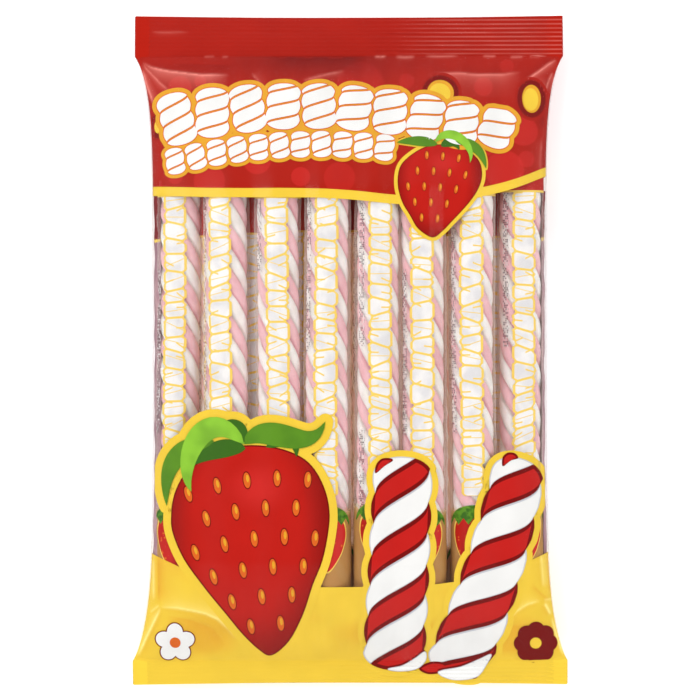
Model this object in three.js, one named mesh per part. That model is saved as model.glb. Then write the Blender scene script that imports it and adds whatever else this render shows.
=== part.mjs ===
// A sealed pillow pack of marshmallow twists, lying on its back.
// Millimetres. +Z is up and is the pack's front, +Y is the top of the pack, and X runs across it.
// The origin is on the floor under the middle of the pack.

import * as THREE from 'three';

// ---- Driving dimensions ----

const PACK_LENGTH = 280; // over both end seals
const BODY_WIDTH = 164.4; // at the waist
const BODY_THICKNESS = 43; // from the floor to the highest twist
const SIDE_HEIGHT = 18; // of the body's widest line above the floor
const FRONT_FULLNESS = 2.3; // superellipse exponent of the domed front
const BACK_FLAT_WIDTH = 90; // of the part of the back that lies on the floor
const BACK_FULLNESS = 2; // superellipse exponent of the back from there to each side

const TWIST_COUNT = 8; // side by side under the front
const TWIST_PITCH = 20.3;
const VALLEY_DEPTH = 1.5; // of the film between two twists
const VALLEY_FADE = 30; // length over which a valley dies out towards a seal
const UNEVENNESS = 0.6; // how much higher or lower a twist lies than its neighbours
const UNEVEN_LENGTH = 57; // of one rise and fall across the pack
const UNEVEN_RUN = 310; // of one rise and fall along it
const UNEVEN_PHASE = { across: 1, along: 0.4 }; // radians that its waves have turned at the origin

const SEAL_THICKNESS = 1;
const SEAL_HEIGHT = 13; // of the seals above the floor, where they leave the body
const RIB_PITCH = 1.8; // crimp ribs across both seals
const RIB_HEIGHT = 0.5;
const EDGE_BOW = 0.8; // how far the middle of a cut edge lies inside its corners
const DROOP_POWER = 1.5; // over 1, so a seal droops most beside its free edge

const PLEAT_PITCH = 11.5; // small folds that run out of each seal into the body
const PLEAT_DEPTH = 0.7;
const PLEAT_REACH = 9;

// Each end: the seal's depth along Y, how much wider it is than the waist on each side and over what
// length that width dies out, how long the body's front and back take to reach their full height,
// and how far the free edge hangs below the line where the seal leaves the body.
const TOP = { seal: 17, flare: 7.6, flareReach: 15, frontTaper: 52, backTaper: 34, droop: 3 };
const BOTTOM = { seal: 10, flare: 9, flareReach: 20, frontTaper: 46, backTaper: 30, droop: 1.6 };

// ---- Mesh density ----

const STEPS_PER_TWIST = 4; // across the front
const SIDE_STEPS = 4; // round each side of the front
const BACK_STEPS = 7; // from each side to the flat of the back
const FLAT_STEPS = 2; // from there to the middle
const TAPER_STEPS = 10; // along each end of the body
const MIDDLE_STEPS = 14;

// ---- The outline, worked out along Y ----

const endAt = (y) => (y > 0 ? TOP : BOTTOM);

// Distance from the inner line of the nearer seal: positive in the body, negative in the seal.
const depthAt = (y) => PACK_LENGTH / 2 - Math.abs(y) - endAt(y).seal;

// 0 all over the body, rising across a seal to 1 at its free edge.
const outwardAt = (y) => Math.max(-depthAt(y), 0) / endAt(y).seal;

// 0 at the seal, rising steeply and then levelling out at 1 after the given length.
function fill(depth, reach) {
  const t = THREE.MathUtils.clamp(depth / reach, 0, 1);
  return Math.sin((t * Math.PI) / 2);
}

function halfWidth(y) {
  const { flare, flareReach } = endAt(y);
  return BODY_WIDTH / 2 + flare * Math.exp(-Math.max(depthAt(y), 0) / flareReach);
}

function sealHeight(y, rib) {
  return SEAL_HEIGHT - endAt(y).droop * outwardAt(y) ** DROOP_POWER + (rib * RIB_HEIGHT) / 2;
}

function frontHeight(y, rib) {
  const rise = BODY_THICKNESS - SEAL_HEIGHT - SEAL_THICKNESS / 2;
  return sealHeight(y, rib) + SEAL_THICKNESS / 2 + rise * fill(depthAt(y), endAt(y).frontTaper);
}

function backHeight(y, rib) {
  return (sealHeight(y, rib) - SEAL_THICKNESS / 2) * (1 - fill(depthAt(y), endAt(y).backTaper));
}

function sideHeight(y, rib) {
  return THREE.MathUtils.lerp(sealHeight(y, rib), SIDE_HEIGHT, fill(depthAt(y), endAt(y).frontTaper));
}

// ---- Relief of the film ----

// The film dips between two neighbouring twists, and is smooth outside the outermost ones.
function valley(x, y) {
  const outermost = ((TWIST_COUNT - 1) / 2) * TWIST_PITCH;
  if (Math.abs(x) > outermost) return 0;
  const dip = Math.cos((Math.PI * x) / TWIST_PITCH) ** 2;
  return VALLEY_DEPTH * dip * fill(depthAt(y) - TWIST_PITCH / 2, VALLEY_FADE);
}

// The twists don't lie quite level, and the film over them shows it.
function unevenness(x, y) {
  const across = Math.sin((2 * Math.PI * x) / UNEVEN_LENGTH + UNEVEN_PHASE.across);
  const along = Math.cos((2 * Math.PI * y) / UNEVEN_RUN + UNEVEN_PHASE.along);
  return UNEVENNESS * across * along * fill(depthAt(y), VALLEY_FADE);
}

// Small folds gathered at a seal, deepest a little way into the body.
function pleat(x, y) {
  const depth = depthAt(y);
  if (depth <= 0) return 0;
  const swell = (depth / PLEAT_REACH) * Math.exp(1 - depth / PLEAT_REACH);
  return PLEAT_DEPTH * swell * Math.cos((2 * Math.PI * x) / PLEAT_PITCH);
}

// ---- Stations round a section ----

// One station is a place across the pack, from 0 in the middle to 1 at the side, on the front or back.
function stationsOfOneHalf() {
  const outermost = ((TWIST_COUNT - 1) / 2) * TWIST_PITCH;
  const stepCount = ((TWIST_COUNT - 1) / 2) * STEPS_PER_TWIST;
  const stations = [];
  for (let i = 0; i <= stepCount; i += 1) {
    stations.push({ across: ((i / stepCount) * outermost) / (BODY_WIDTH / 2), back: false });
  }
  const lastRise = superellipse(stations[stepCount].across, FRONT_FULLNESS);
  for (let i = SIDE_STEPS - 1; i >= 0; i -= 1) {
    const rise = (lastRise * i) / SIDE_STEPS;
    stations.push({ across: superellipse(rise, FRONT_FULLNESS), back: false });
  }
  const flat = BACK_FLAT_WIDTH / BODY_WIDTH;
  for (let i = 1; i <= BACK_STEPS; i += 1) {
    const angle = (i / BACK_STEPS) * (Math.PI / 2);
    stations.push({ across: flat + (1 - flat) * Math.cos(angle), back: true });
  }
  for (let i = FLAT_STEPS - 1; i >= 0; i -= 1) {
    stations.push({ across: (flat * i) / FLAT_STEPS, back: true });
  }
  return stations;
}

// A superellipse is its own inverse: it gives the rise at a place across, and the place for a rise.
function superellipse(value, fullness) {
  return Math.max(1 - value ** fullness, 0) ** (1 / fullness);
}

// 1 over the flat of the back, falling to 0 at the side.
function backDrop(across) {
  const flat = BACK_FLAT_WIDTH / BODY_WIDTH;
  return superellipse(Math.max(across - flat, 0) / (1 - flat), BACK_FULLNESS);
}

function sectionPoint(y, rib, station, side) {
  const x = side * station.across * halfWidth(y);
  const sideZ = sideHeight(y, rib);
  const bowedY = y - Math.sign(y) * EDGE_BOW * (1 - station.across ** 2) * outwardAt(y);
  if (station.back) {
    const drop = (sideZ - backHeight(y, rib)) * backDrop(station.across);
    return new THREE.Vector3(x, bowedY, sideZ - drop);
  }
  const relief = unevenness(x, y) + pleat(x, y) - valley(x, y);
  const rise = (frontHeight(y, rib) - sideZ + relief) * superellipse(station.across, FRONT_FULLNESS);
  return new THREE.Vector3(x, bowedY, sideZ + rise);
}

// ---- Stations along the pack ----

// Rows of a seal, from its free edge inwards. Every second row is the crest of a rib.
function sealRows(seal) {
  const count = Math.round(seal / (RIB_PITCH / 2));
  return Array.from({ length: count + 1 }, (_, i) => {
    const rib = i % 2 ? 1 : -1;
    return { edge: (i / count) * seal, rib: i === count ? 0 : rib };
  });
}

// Rows of an end of the body, from the seal inwards, closest together where the film turns most.
function taperRows(seal, taper) {
  return Array.from({ length: TAPER_STEPS }, (_, i) => {
    const turn = (((i + 1) / TAPER_STEPS) * Math.PI) / 2;
    return { edge: seal + taper * (1 - Math.cos(turn)), rib: 0 };
  });
}

// All rows, from the top edge down to the bottom edge.
function stationsAlong() {
  const edgeY = PACK_LENGTH / 2;
  const endRows = ({ seal, frontTaper }) => [...sealRows(seal), ...taperRows(seal, frontTaper)];
  const upper = endRows(TOP).map(({ edge, rib }) => ({ y: edgeY - edge, rib }));
  const lower = endRows(BOTTOM).map(({ edge, rib }) => ({ y: edge - edgeY, rib })).reverse();
  const middle = Array.from({ length: MIDDLE_STEPS - 1 }, (_, i) => ({
    y: THREE.MathUtils.lerp(upper.at(-1).y, lower[0].y, (i + 1) / MIDDLE_STEPS),
    rib: 0,
  }));
  return [...upper, ...middle, ...lower];
}

// ---- The pack ----

// A closed cylinder along Y whose every vertex is moved to its place on the pack's skin.
function packGeometry() {
  const rows = stationsAlong();
  const half = stationsOfOneHalf();
  const around = 2 * (half.length - 1);
  const geometry = new THREE.CylinderGeometry(1, 1, 1, around, rows.length - 1);
  const place = geometry.attributes.position;
  const vertex = new THREE.Vector3();
  for (let i = 0; i < place.count; i += 1) {
    vertex.fromBufferAttribute(place, i);
    const { y, rib } = rows[Math.round((0.5 - vertex.y) * (rows.length - 1))];
    if (Math.hypot(vertex.x, vertex.z) < 0.5) {
      vertex.set(0, y - Math.sign(y) * EDGE_BOW, sideHeight(y, rib)); // the middle of a cut edge
    } else {
      const turn = Math.atan2(vertex.x, vertex.z) / (2 * Math.PI);
      const step = Math.round(turn * around);
      vertex.copy(sectionPoint(y, rib, half[Math.abs(step)], Math.sign(step)));
    }
    place.setXYZ(i, vertex.x, vertex.y, vertex.z);
  }
  geometry.computeVertexNormals();
  return geometry;
}

const pack = new THREE.Mesh(
  packGeometry(),
  new THREE.MeshStandardMaterial({ color: 0xc9302a, roughness: 0.3, metalness: 0 }),
);
pack.name = 'pack';

const part = new THREE.Group();
part.add(pack);

export default part;
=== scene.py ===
"""A sealed pillow pack of wrapped marshmallow twists: its film, its print and what is inside.

The pack lies on its back. +Z is up and is the pack's front, +Y is the top of the pack, X runs across it.
"""

import functools
import math
import random

import bpy
import numpy as np
from bpy.props import FloatProperty, FloatVectorProperty, PointerProperty
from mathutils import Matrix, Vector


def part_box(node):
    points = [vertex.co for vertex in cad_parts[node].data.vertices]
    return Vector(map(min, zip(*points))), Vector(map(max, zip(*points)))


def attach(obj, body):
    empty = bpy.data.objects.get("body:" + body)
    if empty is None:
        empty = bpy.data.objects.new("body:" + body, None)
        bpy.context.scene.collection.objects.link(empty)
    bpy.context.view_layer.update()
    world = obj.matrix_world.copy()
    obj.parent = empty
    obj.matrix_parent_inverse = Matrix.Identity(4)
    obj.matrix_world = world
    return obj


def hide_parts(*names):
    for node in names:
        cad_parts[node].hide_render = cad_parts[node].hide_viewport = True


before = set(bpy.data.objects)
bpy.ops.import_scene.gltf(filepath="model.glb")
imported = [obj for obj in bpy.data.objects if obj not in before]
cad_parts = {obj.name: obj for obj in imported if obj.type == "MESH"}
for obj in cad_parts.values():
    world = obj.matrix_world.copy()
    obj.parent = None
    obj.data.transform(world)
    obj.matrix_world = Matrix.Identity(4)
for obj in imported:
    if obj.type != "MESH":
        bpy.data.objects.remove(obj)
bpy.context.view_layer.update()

bl_info = {
    "name": "Marshmallow Twist Pack",
    "version": (1, 0, 0),
    "blender": (4, 5, 0),
    "location": "View3D > Sidebar > Sweets",
    "description": "Adds a clear-window pillow pack filled with wrapped marshmallow twists",
    "category": "Add Mesh",
}

MM = 0.001  # every size below is in metres

# ---- The pack's outline, as its solid has it ----

LOW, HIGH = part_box("pack")
PACK_LENGTH = HIGH.y - LOW.y
BODY_WIDTH = 164.4 * MM
BODY_THICKNESS = 43 * MM
SIDE_HEIGHT = 18 * MM  # of the widest line above the floor
FRONT_FULLNESS = 2.3  # superellipse exponent of the domed front
BACK_FLAT_WIDTH = 90 * MM
BACK_FULLNESS = 2

SEAL_THICKNESS = 1 * MM
SEAL_HEIGHT = 13 * MM
DROOP_POWER = 1.5
EDGE_BOW = 0.8 * MM

# Each end: the seal's depth, how much wider it is than the waist and over what length that dies out, how
# long the front and the back take to reach their full height, how far the free edge hangs down, how hard
# the ribs are pressed in on the left, and how much harder they get between two places across.
TOP = {
    "seal": 17 * MM,
    "flare": 7.6 * MM,
    "flare_reach": 15 * MM,
    "front_taper": 52 * MM,
    "back_taper": 34 * MM,
    "droop": 3 * MM,
    "press": 0.16,
    "press_growth": 0.84,
    "press_from": 0,
    "press_to": 50 * MM,
}
BOTTOM = {
    "seal": 10 * MM,
    "flare": 9 * MM,
    "flare_reach": 20 * MM,
    "front_taper": 46 * MM,
    "back_taper": 30 * MM,
    "droop": 1.6 * MM,
    "press": 0.12,
    "press_growth": 0.5,
    "press_from": -40 * MM,
    "press_to": 20 * MM,
}
TOP_SEAL_LINE = PACK_LENGTH / 2 - TOP["seal"]
BOTTOM_SEAL_LINE = BOTTOM["seal"] - PACK_LENGTH / 2

# ---- What is inside ----

TWIST_PITCH = 20.3 * MM  # on average, in the front layer
OUTERMOST = 3.5 * TWIST_PITCH  # of the front twists, from the middle
TWIST_LOW_END = -101 * MM
TWIST_HIGH_END = 84 * MM
TWIST_MIDDLE = (TWIST_HIGH_END + TWIST_LOW_END) / 2
TURN_STEP = 2.399  # from one twist to the next, in radians, so that no two lie alike
STRANDS = 6
FRONT_ROW = [x * MM for x in (-70.8, -51.2, -29.2, -9.0, 11.6, 30.1, 51.1, 71.2)]
MIDDLE_ROW = [x * MM for x in (-54.3, -38.6, -22.8, -6.8, 9.2, 30.9, 51.2)]
MIDDLE_ROW_HEIGHT = 20.5 * MM
BACK_PITCH = 16.1 * MM
BACK_ROW = [BACK_PITCH * (i - 4) for i in range(9)]
BACK_ROW_HEIGHT = 7.9 * MM
BACK_ROW_LIFT = 2.6 * MM  # of the outermost two, which the curve of the film holds up

# ---- Settings ----


def length(name, description, default):
    """A size in metres, as a user of the panel sees it."""
    return FloatProperty(name=name, description=description, default=default, min=0, unit="LENGTH")


def colour(name, description, default):
    """A colour in linear light, as a user of the panel sees it."""
    return FloatVectorProperty(
        name=name, description=description, default=default, subtype="COLOR", size=3, min=0, max=1
    )


def fraction(name, description, default):
    """A share from 0 to 1, as a user of the panel sees it."""
    return FloatProperty(name=name, description=description, default=default, min=0, max=1)


def amount(name, description, default):
    """An amount without a unit, as a user of the panel sees it."""
    return FloatProperty(name=name, description=description, default=default, min=0)


def srgb(*parts):
    """Linear light from a screen colour whose parts run from 0 to 255."""
    return tuple(((v / 255 + 0.055) / 1.055) ** 2.4 if v > 10 else v / 255 / 12.92 for v in parts)


class FilmSettings(bpy.types.PropertyGroup):
    """The relief and the gloss of the pack's film."""

    valley_depth: length("Valley depth", "Dip of the film between two twists", 1.5 * MM)
    pleat_depth: length("Pleat depth", "Depth of the folds that run out of a seal", 0.7 * MM)
    rib_height: length("Rib height", "Height of the crimp ribs of the seals", 0.5 * MM)
    rib_pitch: length("Rib pitch", "Distance between two crimp ribs", 1.8 * MM)
    reflectance: fraction("Reflectance", "Share of light that the film mirrors head-on", 0.035)
    roughness: fraction("Roughness", "Softness of its reflections", 0.1)


class PrintSettings(bpy.types.PropertyGroup):
    """The inks on the pack's film."""

    red: colour("Red", "Top field", srgb(168, 29, 17))
    light_red: colour("Light red", "Lighter dots on the top field", srgb(200, 42, 38))
    # Painted highlight: the red of reflections along the folds and on the crests of the seal's ribs.
    fold_highlight_red: colour("Pale red", "Red along folds and ribs, where ink is stretched", srgb(246, 150, 138))
    # Printed dots and outlines, and also the painted shade under the top seal and beside the folds.
    dark_red: colour("Dark red", "Darker dots, and outlines", srgb(116, 12, 10))
    yellow: colour("Yellow", "Bottom field and trim line", srgb(232, 196, 62))
    # Painted highlight along the folds of the bottom field.
    fold_highlight_yellow: colour("Pale yellow", "Yellow along folds", srgb(255, 240, 150))
    # Printed outlines, random clouds on the yellow, and the painted shade in the bottom corners and beside
    # folds.
    amber: colour("Amber", "Outlines of the white shapes, and shades of the yellow", srgb(222, 160, 44))
    bead_edge: colour("Bead edge", "Outlines of the beads on the wrappers", srgb(243, 208, 96))
    orange: colour("Orange", "Thin lines round white shapes, and seeds", srgb(214, 100, 34))
    white: colour("White", "White shapes", srgb(232, 232, 230))
    bead_white: colour("Bead white", "Beads on the wrappers", srgb(240, 238, 236))
    fruit: colour("Fruit red", "Berries", srgb(184, 28, 20))
    bright_red: colour("Bright red", "Stripes of the drawn twists", srgb(190, 30, 26))
    green: colour("Green", "Leaves", srgb(92, 142, 36))
    dark_green: colour("Dark green", "Edges and shades of leaves", srgb(58, 104, 30))
    light_green: colour("Light green", "Front leaves", srgb(140, 196, 58))
    tan: colour("Tan", "Lower end of the wrappers", srgb(190, 138, 70))
    pale_grey: colour("Pale grey", "Edges of white stripes", srgb(196, 196, 202))
    trim_width: length("Trim width", "Width of the line under the top field", 3.8 * MM)


class TwistSettings(bpy.types.PropertyGroup):
    """The marshmallow twists."""

    width: length("Width", "Across one twist of the front layer", 17.4 * MM)
    thickness: length("Thickness", "Through one twist of the front layer, pressed flat", 14.3 * MM)
    hidden_width: length("Hidden width", "Across one twist of the layers below", 15.6 * MM)
    hidden_thickness: length("Hidden thickness", "Through one twist of the layers below", 12.6 * MM)
    lead: length("Lead", "Length over which a strand turns once", 55 * MM)
    groove: length("Groove", "Depth of the grooves between strands", 1.6 * MM)
    pink: colour("Pink", "Every second strand", srgb(246, 200, 208))
    cream: colour("Cream", "The other strands", srgb(253, 252, 250))


class WrapperSettings(bpy.types.PropertyGroup):
    """The clear wrapper round each twist."""

    half_width: length("Half width", "From the middle of a wrapper to its side", 9.7 * MM)
    half_height: length("Half height", "From the middle of a wrapper to its top", 7.7 * MM)
    print_width: length("Print width", "Of the row of white beads printed along a wrapper", 10.6 * MM)
    bead_pitch: length("Bead pitch", "Distance between two printed beads", 6.6 * MM)


class StageSettings(bpy.types.PropertyGroup):
    """The floor, the lights and the camera."""

    view_width: length("View width", "Width of the field that the camera sees", 293 * MM)
    camera_height: length("Camera height", "Of the camera above the pack's seals", 1.8)
    key_power: amount("Key light", "Power of the large light", 11.5)
    world_strength: amount("Sky", "Brightness of the surroundings", 0.88)


# ---- The film's skin ----

SEAL_WAVE_HEIGHT = 0.5 * MM
SEAL_WAVE_LENGTH = 88 * MM
VALLEY_FADE = 30 * MM  # length over which a valley dies out towards a seal
UNEVENNESS = 0.6 * MM  # how much higher or lower a twist lies than its neighbours
UNEVEN_LENGTH = 57 * MM  # of one rise and fall across the pack
UNEVEN_RUN = 310 * MM  # of one rise and fall along it
PLEAT_PITCH = 11.5 * MM
PLEAT_REACH = 9 * MM
SLACK_REACH = 26 * MM  # from a seal, of the film that nothing presses on
BACK_FLAT = BACK_FLAT_WIDTH / BODY_WIDTH
SEAM_ROOM = 0.5 * MM  # under the back, for its lengthwise seam


def of_end(size, y):
    """A size of the top end where y is above the middle, and of the bottom end below it."""
    return np.where(y > 0, TOP[size], BOTTOM[size])


def depth_at(y):
    """Distance from the inner line of the nearer seal: positive in the body, negative in the seal."""
    return PACK_LENGTH / 2 - np.abs(y) - of_end("seal", y)


def outward_at(y):
    """0 all over the body, rising across a seal to 1 at its free edge."""
    return np.maximum(-depth_at(y), 0) / of_end("seal", y)


def fill(depth, reach):
    """0 at the seal, rising steeply and then levelling out at 1 after the given length."""
    return np.sin(np.clip(depth / reach, 0, 1) * math.pi / 2)


def half_width(y):
    """From the pack's middle to its side."""
    widening = np.exp(-np.maximum(depth_at(y), 0) / of_end("flare_reach", y))
    return BODY_WIDTH / 2 + of_end("flare", y) * widening


def superellipse(value, fullness):
    """Rise at a place across a superellipse, both from 0 to 1."""
    return np.maximum(1 - np.abs(value) ** fullness, 0) ** (1 / fullness)


def smooth_step(value, start, end):
    """0 before start, 1 after end, and a soft rise in between."""
    t = np.clip((value - start) / (end - start), 0, 1)
    return t * t * (3 - 2 * t)


def ribs(x, y):
    """Crimp ribs of a seal: crests along X, pressed in harder on the right than on the left."""
    film = bpy.context.scene.pack_film
    wave = 1 - 2 * np.abs(np.cos(np.pi * depth_at(y) / film.rib_pitch))
    growth = smooth_step(x, of_end("press_from", y), of_end("press_to", y))
    pressed = of_end("press", y) + of_end("press_growth", y) * growth
    inside = smooth_step(-depth_at(y), 0, 1 * MM)
    return film.rib_height / 2 * wave * pressed * inside


def seal_height(x, y):
    """Middle of the two sheets of a seal, which hangs a little and isn't quite flat."""
    wave = SEAL_WAVE_HEIGHT * np.sin(2 * np.pi * x / SEAL_WAVE_LENGTH + 0.6) * outward_at(y)
    return SEAL_HEIGHT - of_end("droop", y) * outward_at(y) ** DROOP_POWER + wave + ribs(x, y)


def valley(x, y):
    """The film dips between two neighbouring twists, and is smooth outside the outermost ones."""
    inside = np.abs(x) <= OUTERMOST
    dip = np.cos(np.pi * x / TWIST_PITCH) ** 2
    depth = bpy.context.scene.pack_film.valley_depth
    return depth * dip * inside * fill(depth_at(y) - TWIST_PITCH / 2, VALLEY_FADE)


def unevenness(x, y):
    """The twists don't lie quite level, and the film over them shows it."""
    across = np.sin(2 * np.pi * x / UNEVEN_LENGTH + 1)
    along = np.cos(2 * np.pi * y / UNEVEN_RUN + 0.4)
    return UNEVENNESS * across * along * fill(depth_at(y), VALLEY_FADE)


def pleats(x, y):
    """Small folds gathered at a seal, deepest a little way into the body."""
    way_in = np.maximum(depth_at(y), 0) / PLEAT_REACH
    depth = bpy.context.scene.pack_film.pleat_depth
    return depth * way_in * np.exp(1 - way_in) * np.cos(2 * np.pi * x / PLEAT_PITCH)


FOLD_MARGIN = 9  # round a fold's line, in mm: it shows no further away than this
SHARP_REACH = 0.9  # of the relief on a fold's sharp side, in mm
SHADE_REACH = 1.7  # of the painted shade beside a fold's crest
CREST_REACH = 0.55  # of the painted highlight along its crest

# Folds of the front: the line of each crest in mm, its height, how far its soft side reaches, and how much
# painted highlight it puts on the print there, with painted shade on its sharp side. The soft side lies left
# of the way, or right of it where its reach is negative. A fold with less than nothing paints shade on its
# crest and its soft side instead.
FOLDS = (
    (
        ((-86.4, 120.7), (-82.7, 118.4), (-79.5, 117.5), (-75, 116.6), (-68, 115.7), (-61, 114.9),
         (-50, 115)),
        0.7, -3.4, 0.9,
    ),
    (((-86, 120.5), (-84.8, 118.1), (-82.7, 115.9), (-78.7, 111.6), (-74.4, 107.9)), 0.6, -1.6, 0.55),
    (((-86.6, 117.9), (-84.8, 111.1), (-83, 106.4), (-81.7, 102.5)), 0.4, 1.6, 0.8),
    (((-76, 119.5), (-60, 119), (-46, 118.6)), -0.5, -3.0, -0.3),
    (((-19.4, 112.4), (-14.4, 113.7), (-8.1, 115.3), (-1.9, 116.5)), 0.5, -1.4, 0.4),
    (((-40.7, 115.5), (-38.1, 112.4), (-36, 108.9)), 0.3, 1.4, 0.3),
    (((-33, 122.4), (-20.7, 121.9), (-8.2, 122.1), (8, 122.1)), -0.5, -3.6, -0.75),
    (
        ((32.7, 114.2), (37.7, 115.3), (46.5, 115.4), (54.4, 114.7), (64, 114.9), (71.6, 115.9)),
        0.6, -3.2, 0.62,
    ),
    (((87, 121.6), (83.1, 119.2), (80.6, 117.2), (75.6, 113.7), (72.7, 111.5)), 0.6, 1.3, 0.8),
    (((85.1, 116.2), (83.5, 112.8), (82.4, 109.8), (81.5, 107.6)), 0.4, 1.2, 0.5),
    (((77.6, 112.9), (82.2, 108.7)), 0.3, 2.4, 0.35),
    (((83.3, 114), (81.7, 108.5)), -0.3, 1.4, -0.5),
    (((81.6, 106.3), (81, 100), (80.3, 91)), -0.3, -1.8, -0.45),
    (((86.2, 115), (84.6, 107.5)), 0.3, -1.2, 0.5),
    (((80.3, 88), (79.6, 79), (79.9, 72)), 0.3, -1.4, 0.25),
    (((-60.9, 122.9), (-56, 123.1)), 0.2, -0.5, 0.2),
    (((-53.4, 122.8), (-50.4, 122.9)), 0.2, -0.5, 0.2),
    (((10.6, 122.9), (13, 122.7), (15.6, 122.9)), 0.3, -0.55, 0.5),
    (((19.4, 122.8), (23.6, 122.5), (27.8, 122.8)), 0.3, -0.6, 0.6),
    (((31.6, 123), (37.9, 122.8), (46, 123.1)), 0.3, -0.5, 0.4),
    (((55.8, 123.1), (59, 122.9), (61.8, 123)), 0.3, -0.5, 0.4),
    (((67.2, 122.7), (70, 122.6), (73.2, 122.9)), 0.3, -0.55, 0.5),
    (((75.2, 123.1), (80.4, 122.9)), 0.3, -0.5, 0.5),
    (((-52, 133.3), (-41.6, 133.8), (-33.3, 133.4), (-18, 132.9)), -0.2, -0.9, -0.55),
    (((6, 132.3), (16.9, 132), (29.5, 132.3)), -0.2, -0.9, -0.4),
    (((-83, 133.5), (-77.2, 133.2), (-69, 133.5)), 0.2, -0.9, 0.22),
    (
        ((-79.5, -106.8), (-71, -107.2), (-65.4, -108.2), (-60, -109.4),
         (-55.1, -111.6), (-50.5, -116), (-48, -120)),
        0.6, 2.4, 0.8,
    ),
    (((-78.8, -106.5), (-79.6, -109), (-81.3, -112.5), (-85.2, -120.3), (-88.9, -128.4)), 0.7, -1.2, 0.95),
    (((-79.6, -83.5), (-79.5, -93.4), (-79.6, -105.2)), -0.4, 2.6, -0.85),
    (((-81.6, -86), (-81.6, -104.5)), 0.4, -1.2, 0.6),
    (((-83.3, -109.4), (-79.2, -106)), 0.3, 0.8, 0.5),
    (((-77, -110.5), (-66, -112.5), (-57, -116.5), (-52, -124)), -0.6, -6.0, -0.55),
    (((79.1, -83.8), (79.7, -91.4), (80.4, -99)), 0.4, 2.2, 0.55),
    (((82.2, -84.3), (82.7, -93.7), (83.3, -102.1)), -0.3, 1.6, -0.6),
    (((75.3, -97.5), (79.2, -101.4), (83.3, -104.6)), -0.3, -1.3, -0.55),
    (((80.6, -104), (84.7, -103.9)), 0.3, -1.0, 0.4),
    (((80.8, -105.4), (82.2, -107.9), (83.6, -110.6)), 0.4, 0.9, 1.0),
    (((65.4, -112.6), (69.1, -108.8), (73.7, -105.9), (79.2, -104.4)), 0.4, 1.5, 0.6),
    (((84, -111.7), (85.4, -117.3), (87.1, -122.5), (89.2, -128.2)), 0.5, 1.1, 0.85),
    (((60, -116.5), (68, -115), (78, -117)), -0.6, -7.5, -0.5),
)


def from_line(x, y, places):
    """How far places lie from a line, positive on its left, and the share of the line passed there."""
    places = np.array(places, float)
    steps = np.diff(places, axis=0)
    runs = np.hypot(*steps.T)
    passed = np.concatenate([[0], np.cumsum(runs)])
    nearest = np.full(x.shape, np.inf)
    aside, share = np.zeros(x.shape), np.zeros(x.shape)
    for start, step, run, before in zip(places, steps, runs, passed):
        way = step / run
        ahead = (x - start[0]) * way[0] + (y - start[1]) * way[1]
        left = (y - start[1]) * way[0] - (x - start[0]) * way[1]
        along = np.clip(ahead, 0, run)
        reach = np.hypot(left, ahead - along)
        closer = reach < nearest
        nearest = np.where(closer, reach, nearest)
        aside = np.where(closer, np.copysign(reach, left), aside)
        share = np.where(closer, (before + along) / passed[-1], share)
    return aside, share


def folds_near(x, y):
    """For each fold: the places near it, how far on its soft side they lie, in mm, and its swell there."""
    x, y = x / MM, y / MM
    for line, height, soft, painted_light in FOLDS:
        low, high = np.min(line, axis=0) - FOLD_MARGIN, np.max(line, axis=0) + FOLD_MARGIN
        near = (x > low[0]) & (x < high[0]) & (y > low[1]) & (y < high[1])
        if near.any():
            aside, share = from_line(x[near], y[near], line)
            swell = np.clip(6 * share * (1 - share), 0, 1)
            yield near, aside * math.copysign(1, soft), swell, height, abs(soft), painted_light


def folds(x, y):
    """Height of the folds: each rises sharply on one side and falls softly on the other."""
    x, y = np.broadcast_arrays(x, y)
    relief = np.zeros(x.shape)
    for near, aside, swell, height, soft, _ in folds_near(x, y):
        reach = np.where(aside > 0, max(soft, SHARP_REACH), SHARP_REACH)
        relief[near] += height * MM * np.sqrt(swell) * np.exp(-((aside / reach) ** 2))
    return relief


def fold_light_and_shade(x, y):
    """How much painted highlight and painted shade the folds put on the print, from 0 to 1."""
    painted_highlight, dark = np.zeros(x.shape), np.zeros(x.shape)
    for near, aside, swell, _, soft, painted_light in folds_near(x, y):
        crest = np.exp(-((aside / CREST_REACH) ** 2))
        soft_side = np.exp(-np.abs(aside) / soft) * (aside > 0)
        sharp_side = np.exp(-np.abs(aside) / SHADE_REACH) * (aside < 0) * (1 - crest)
        # Painted highlight on the crest and the soft side, painted shade on the sharp side.
        if painted_light > 0:
            painted_highlight[near] = np.maximum(painted_highlight[near], painted_light * swell * (0.5 * crest + 0.5 * soft_side))
            dark[near] = np.maximum(dark[near], 0.55 * painted_light * swell * sharp_side)
        else:
            dark[near] = np.maximum(dark[near], -painted_light * swell * np.maximum(crest, soft_side))
    return painted_highlight, dark


def slack(x, y):
    """Soft long ripples of film that nothing presses on, strongest near the seals."""
    loose = np.exp(-np.maximum(depth_at(y), 0) / SLACK_REACH) * (depth_at(y) > 0)
    wide = np.sin(x / (17 * MM) + 1.2 * np.sin(y / (12 * MM)) + 0.7)
    narrow = np.sin(x / (6.5 * MM) - y / (9 * MM) + 2.0) * np.sin(x / (31 * MM) + 1.1)
    return (0.45 * wide + 0.22 * narrow) * MM * loose * smooth_step(depth_at(y), 0, 8 * MM)


def front_height(x, y):
    """Height of the film's front above the floor."""
    across = np.clip(x / half_width(y), -1, 1)
    seal = seal_height(x, y)
    full = fill(depth_at(y), of_end("front_taper", y))
    crown = seal + SEAL_THICKNESS / 2 + (BODY_THICKNESS - SEAL_HEIGHT - SEAL_THICKNESS / 2) * full
    side = side_height(x, y)
    relief = unevenness(x, y) + pleats(x, y) - valley(x, y) + slack(x, y) + folds(x, y)
    return side + (crown - side + relief) * superellipse(across, FRONT_FULLNESS)


def side_height(x, y):
    """Height of the pack's widest line."""
    seal = seal_height(x, y)
    return seal + (SIDE_HEIGHT - seal) * fill(depth_at(y), of_end("front_taper", y))


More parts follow.
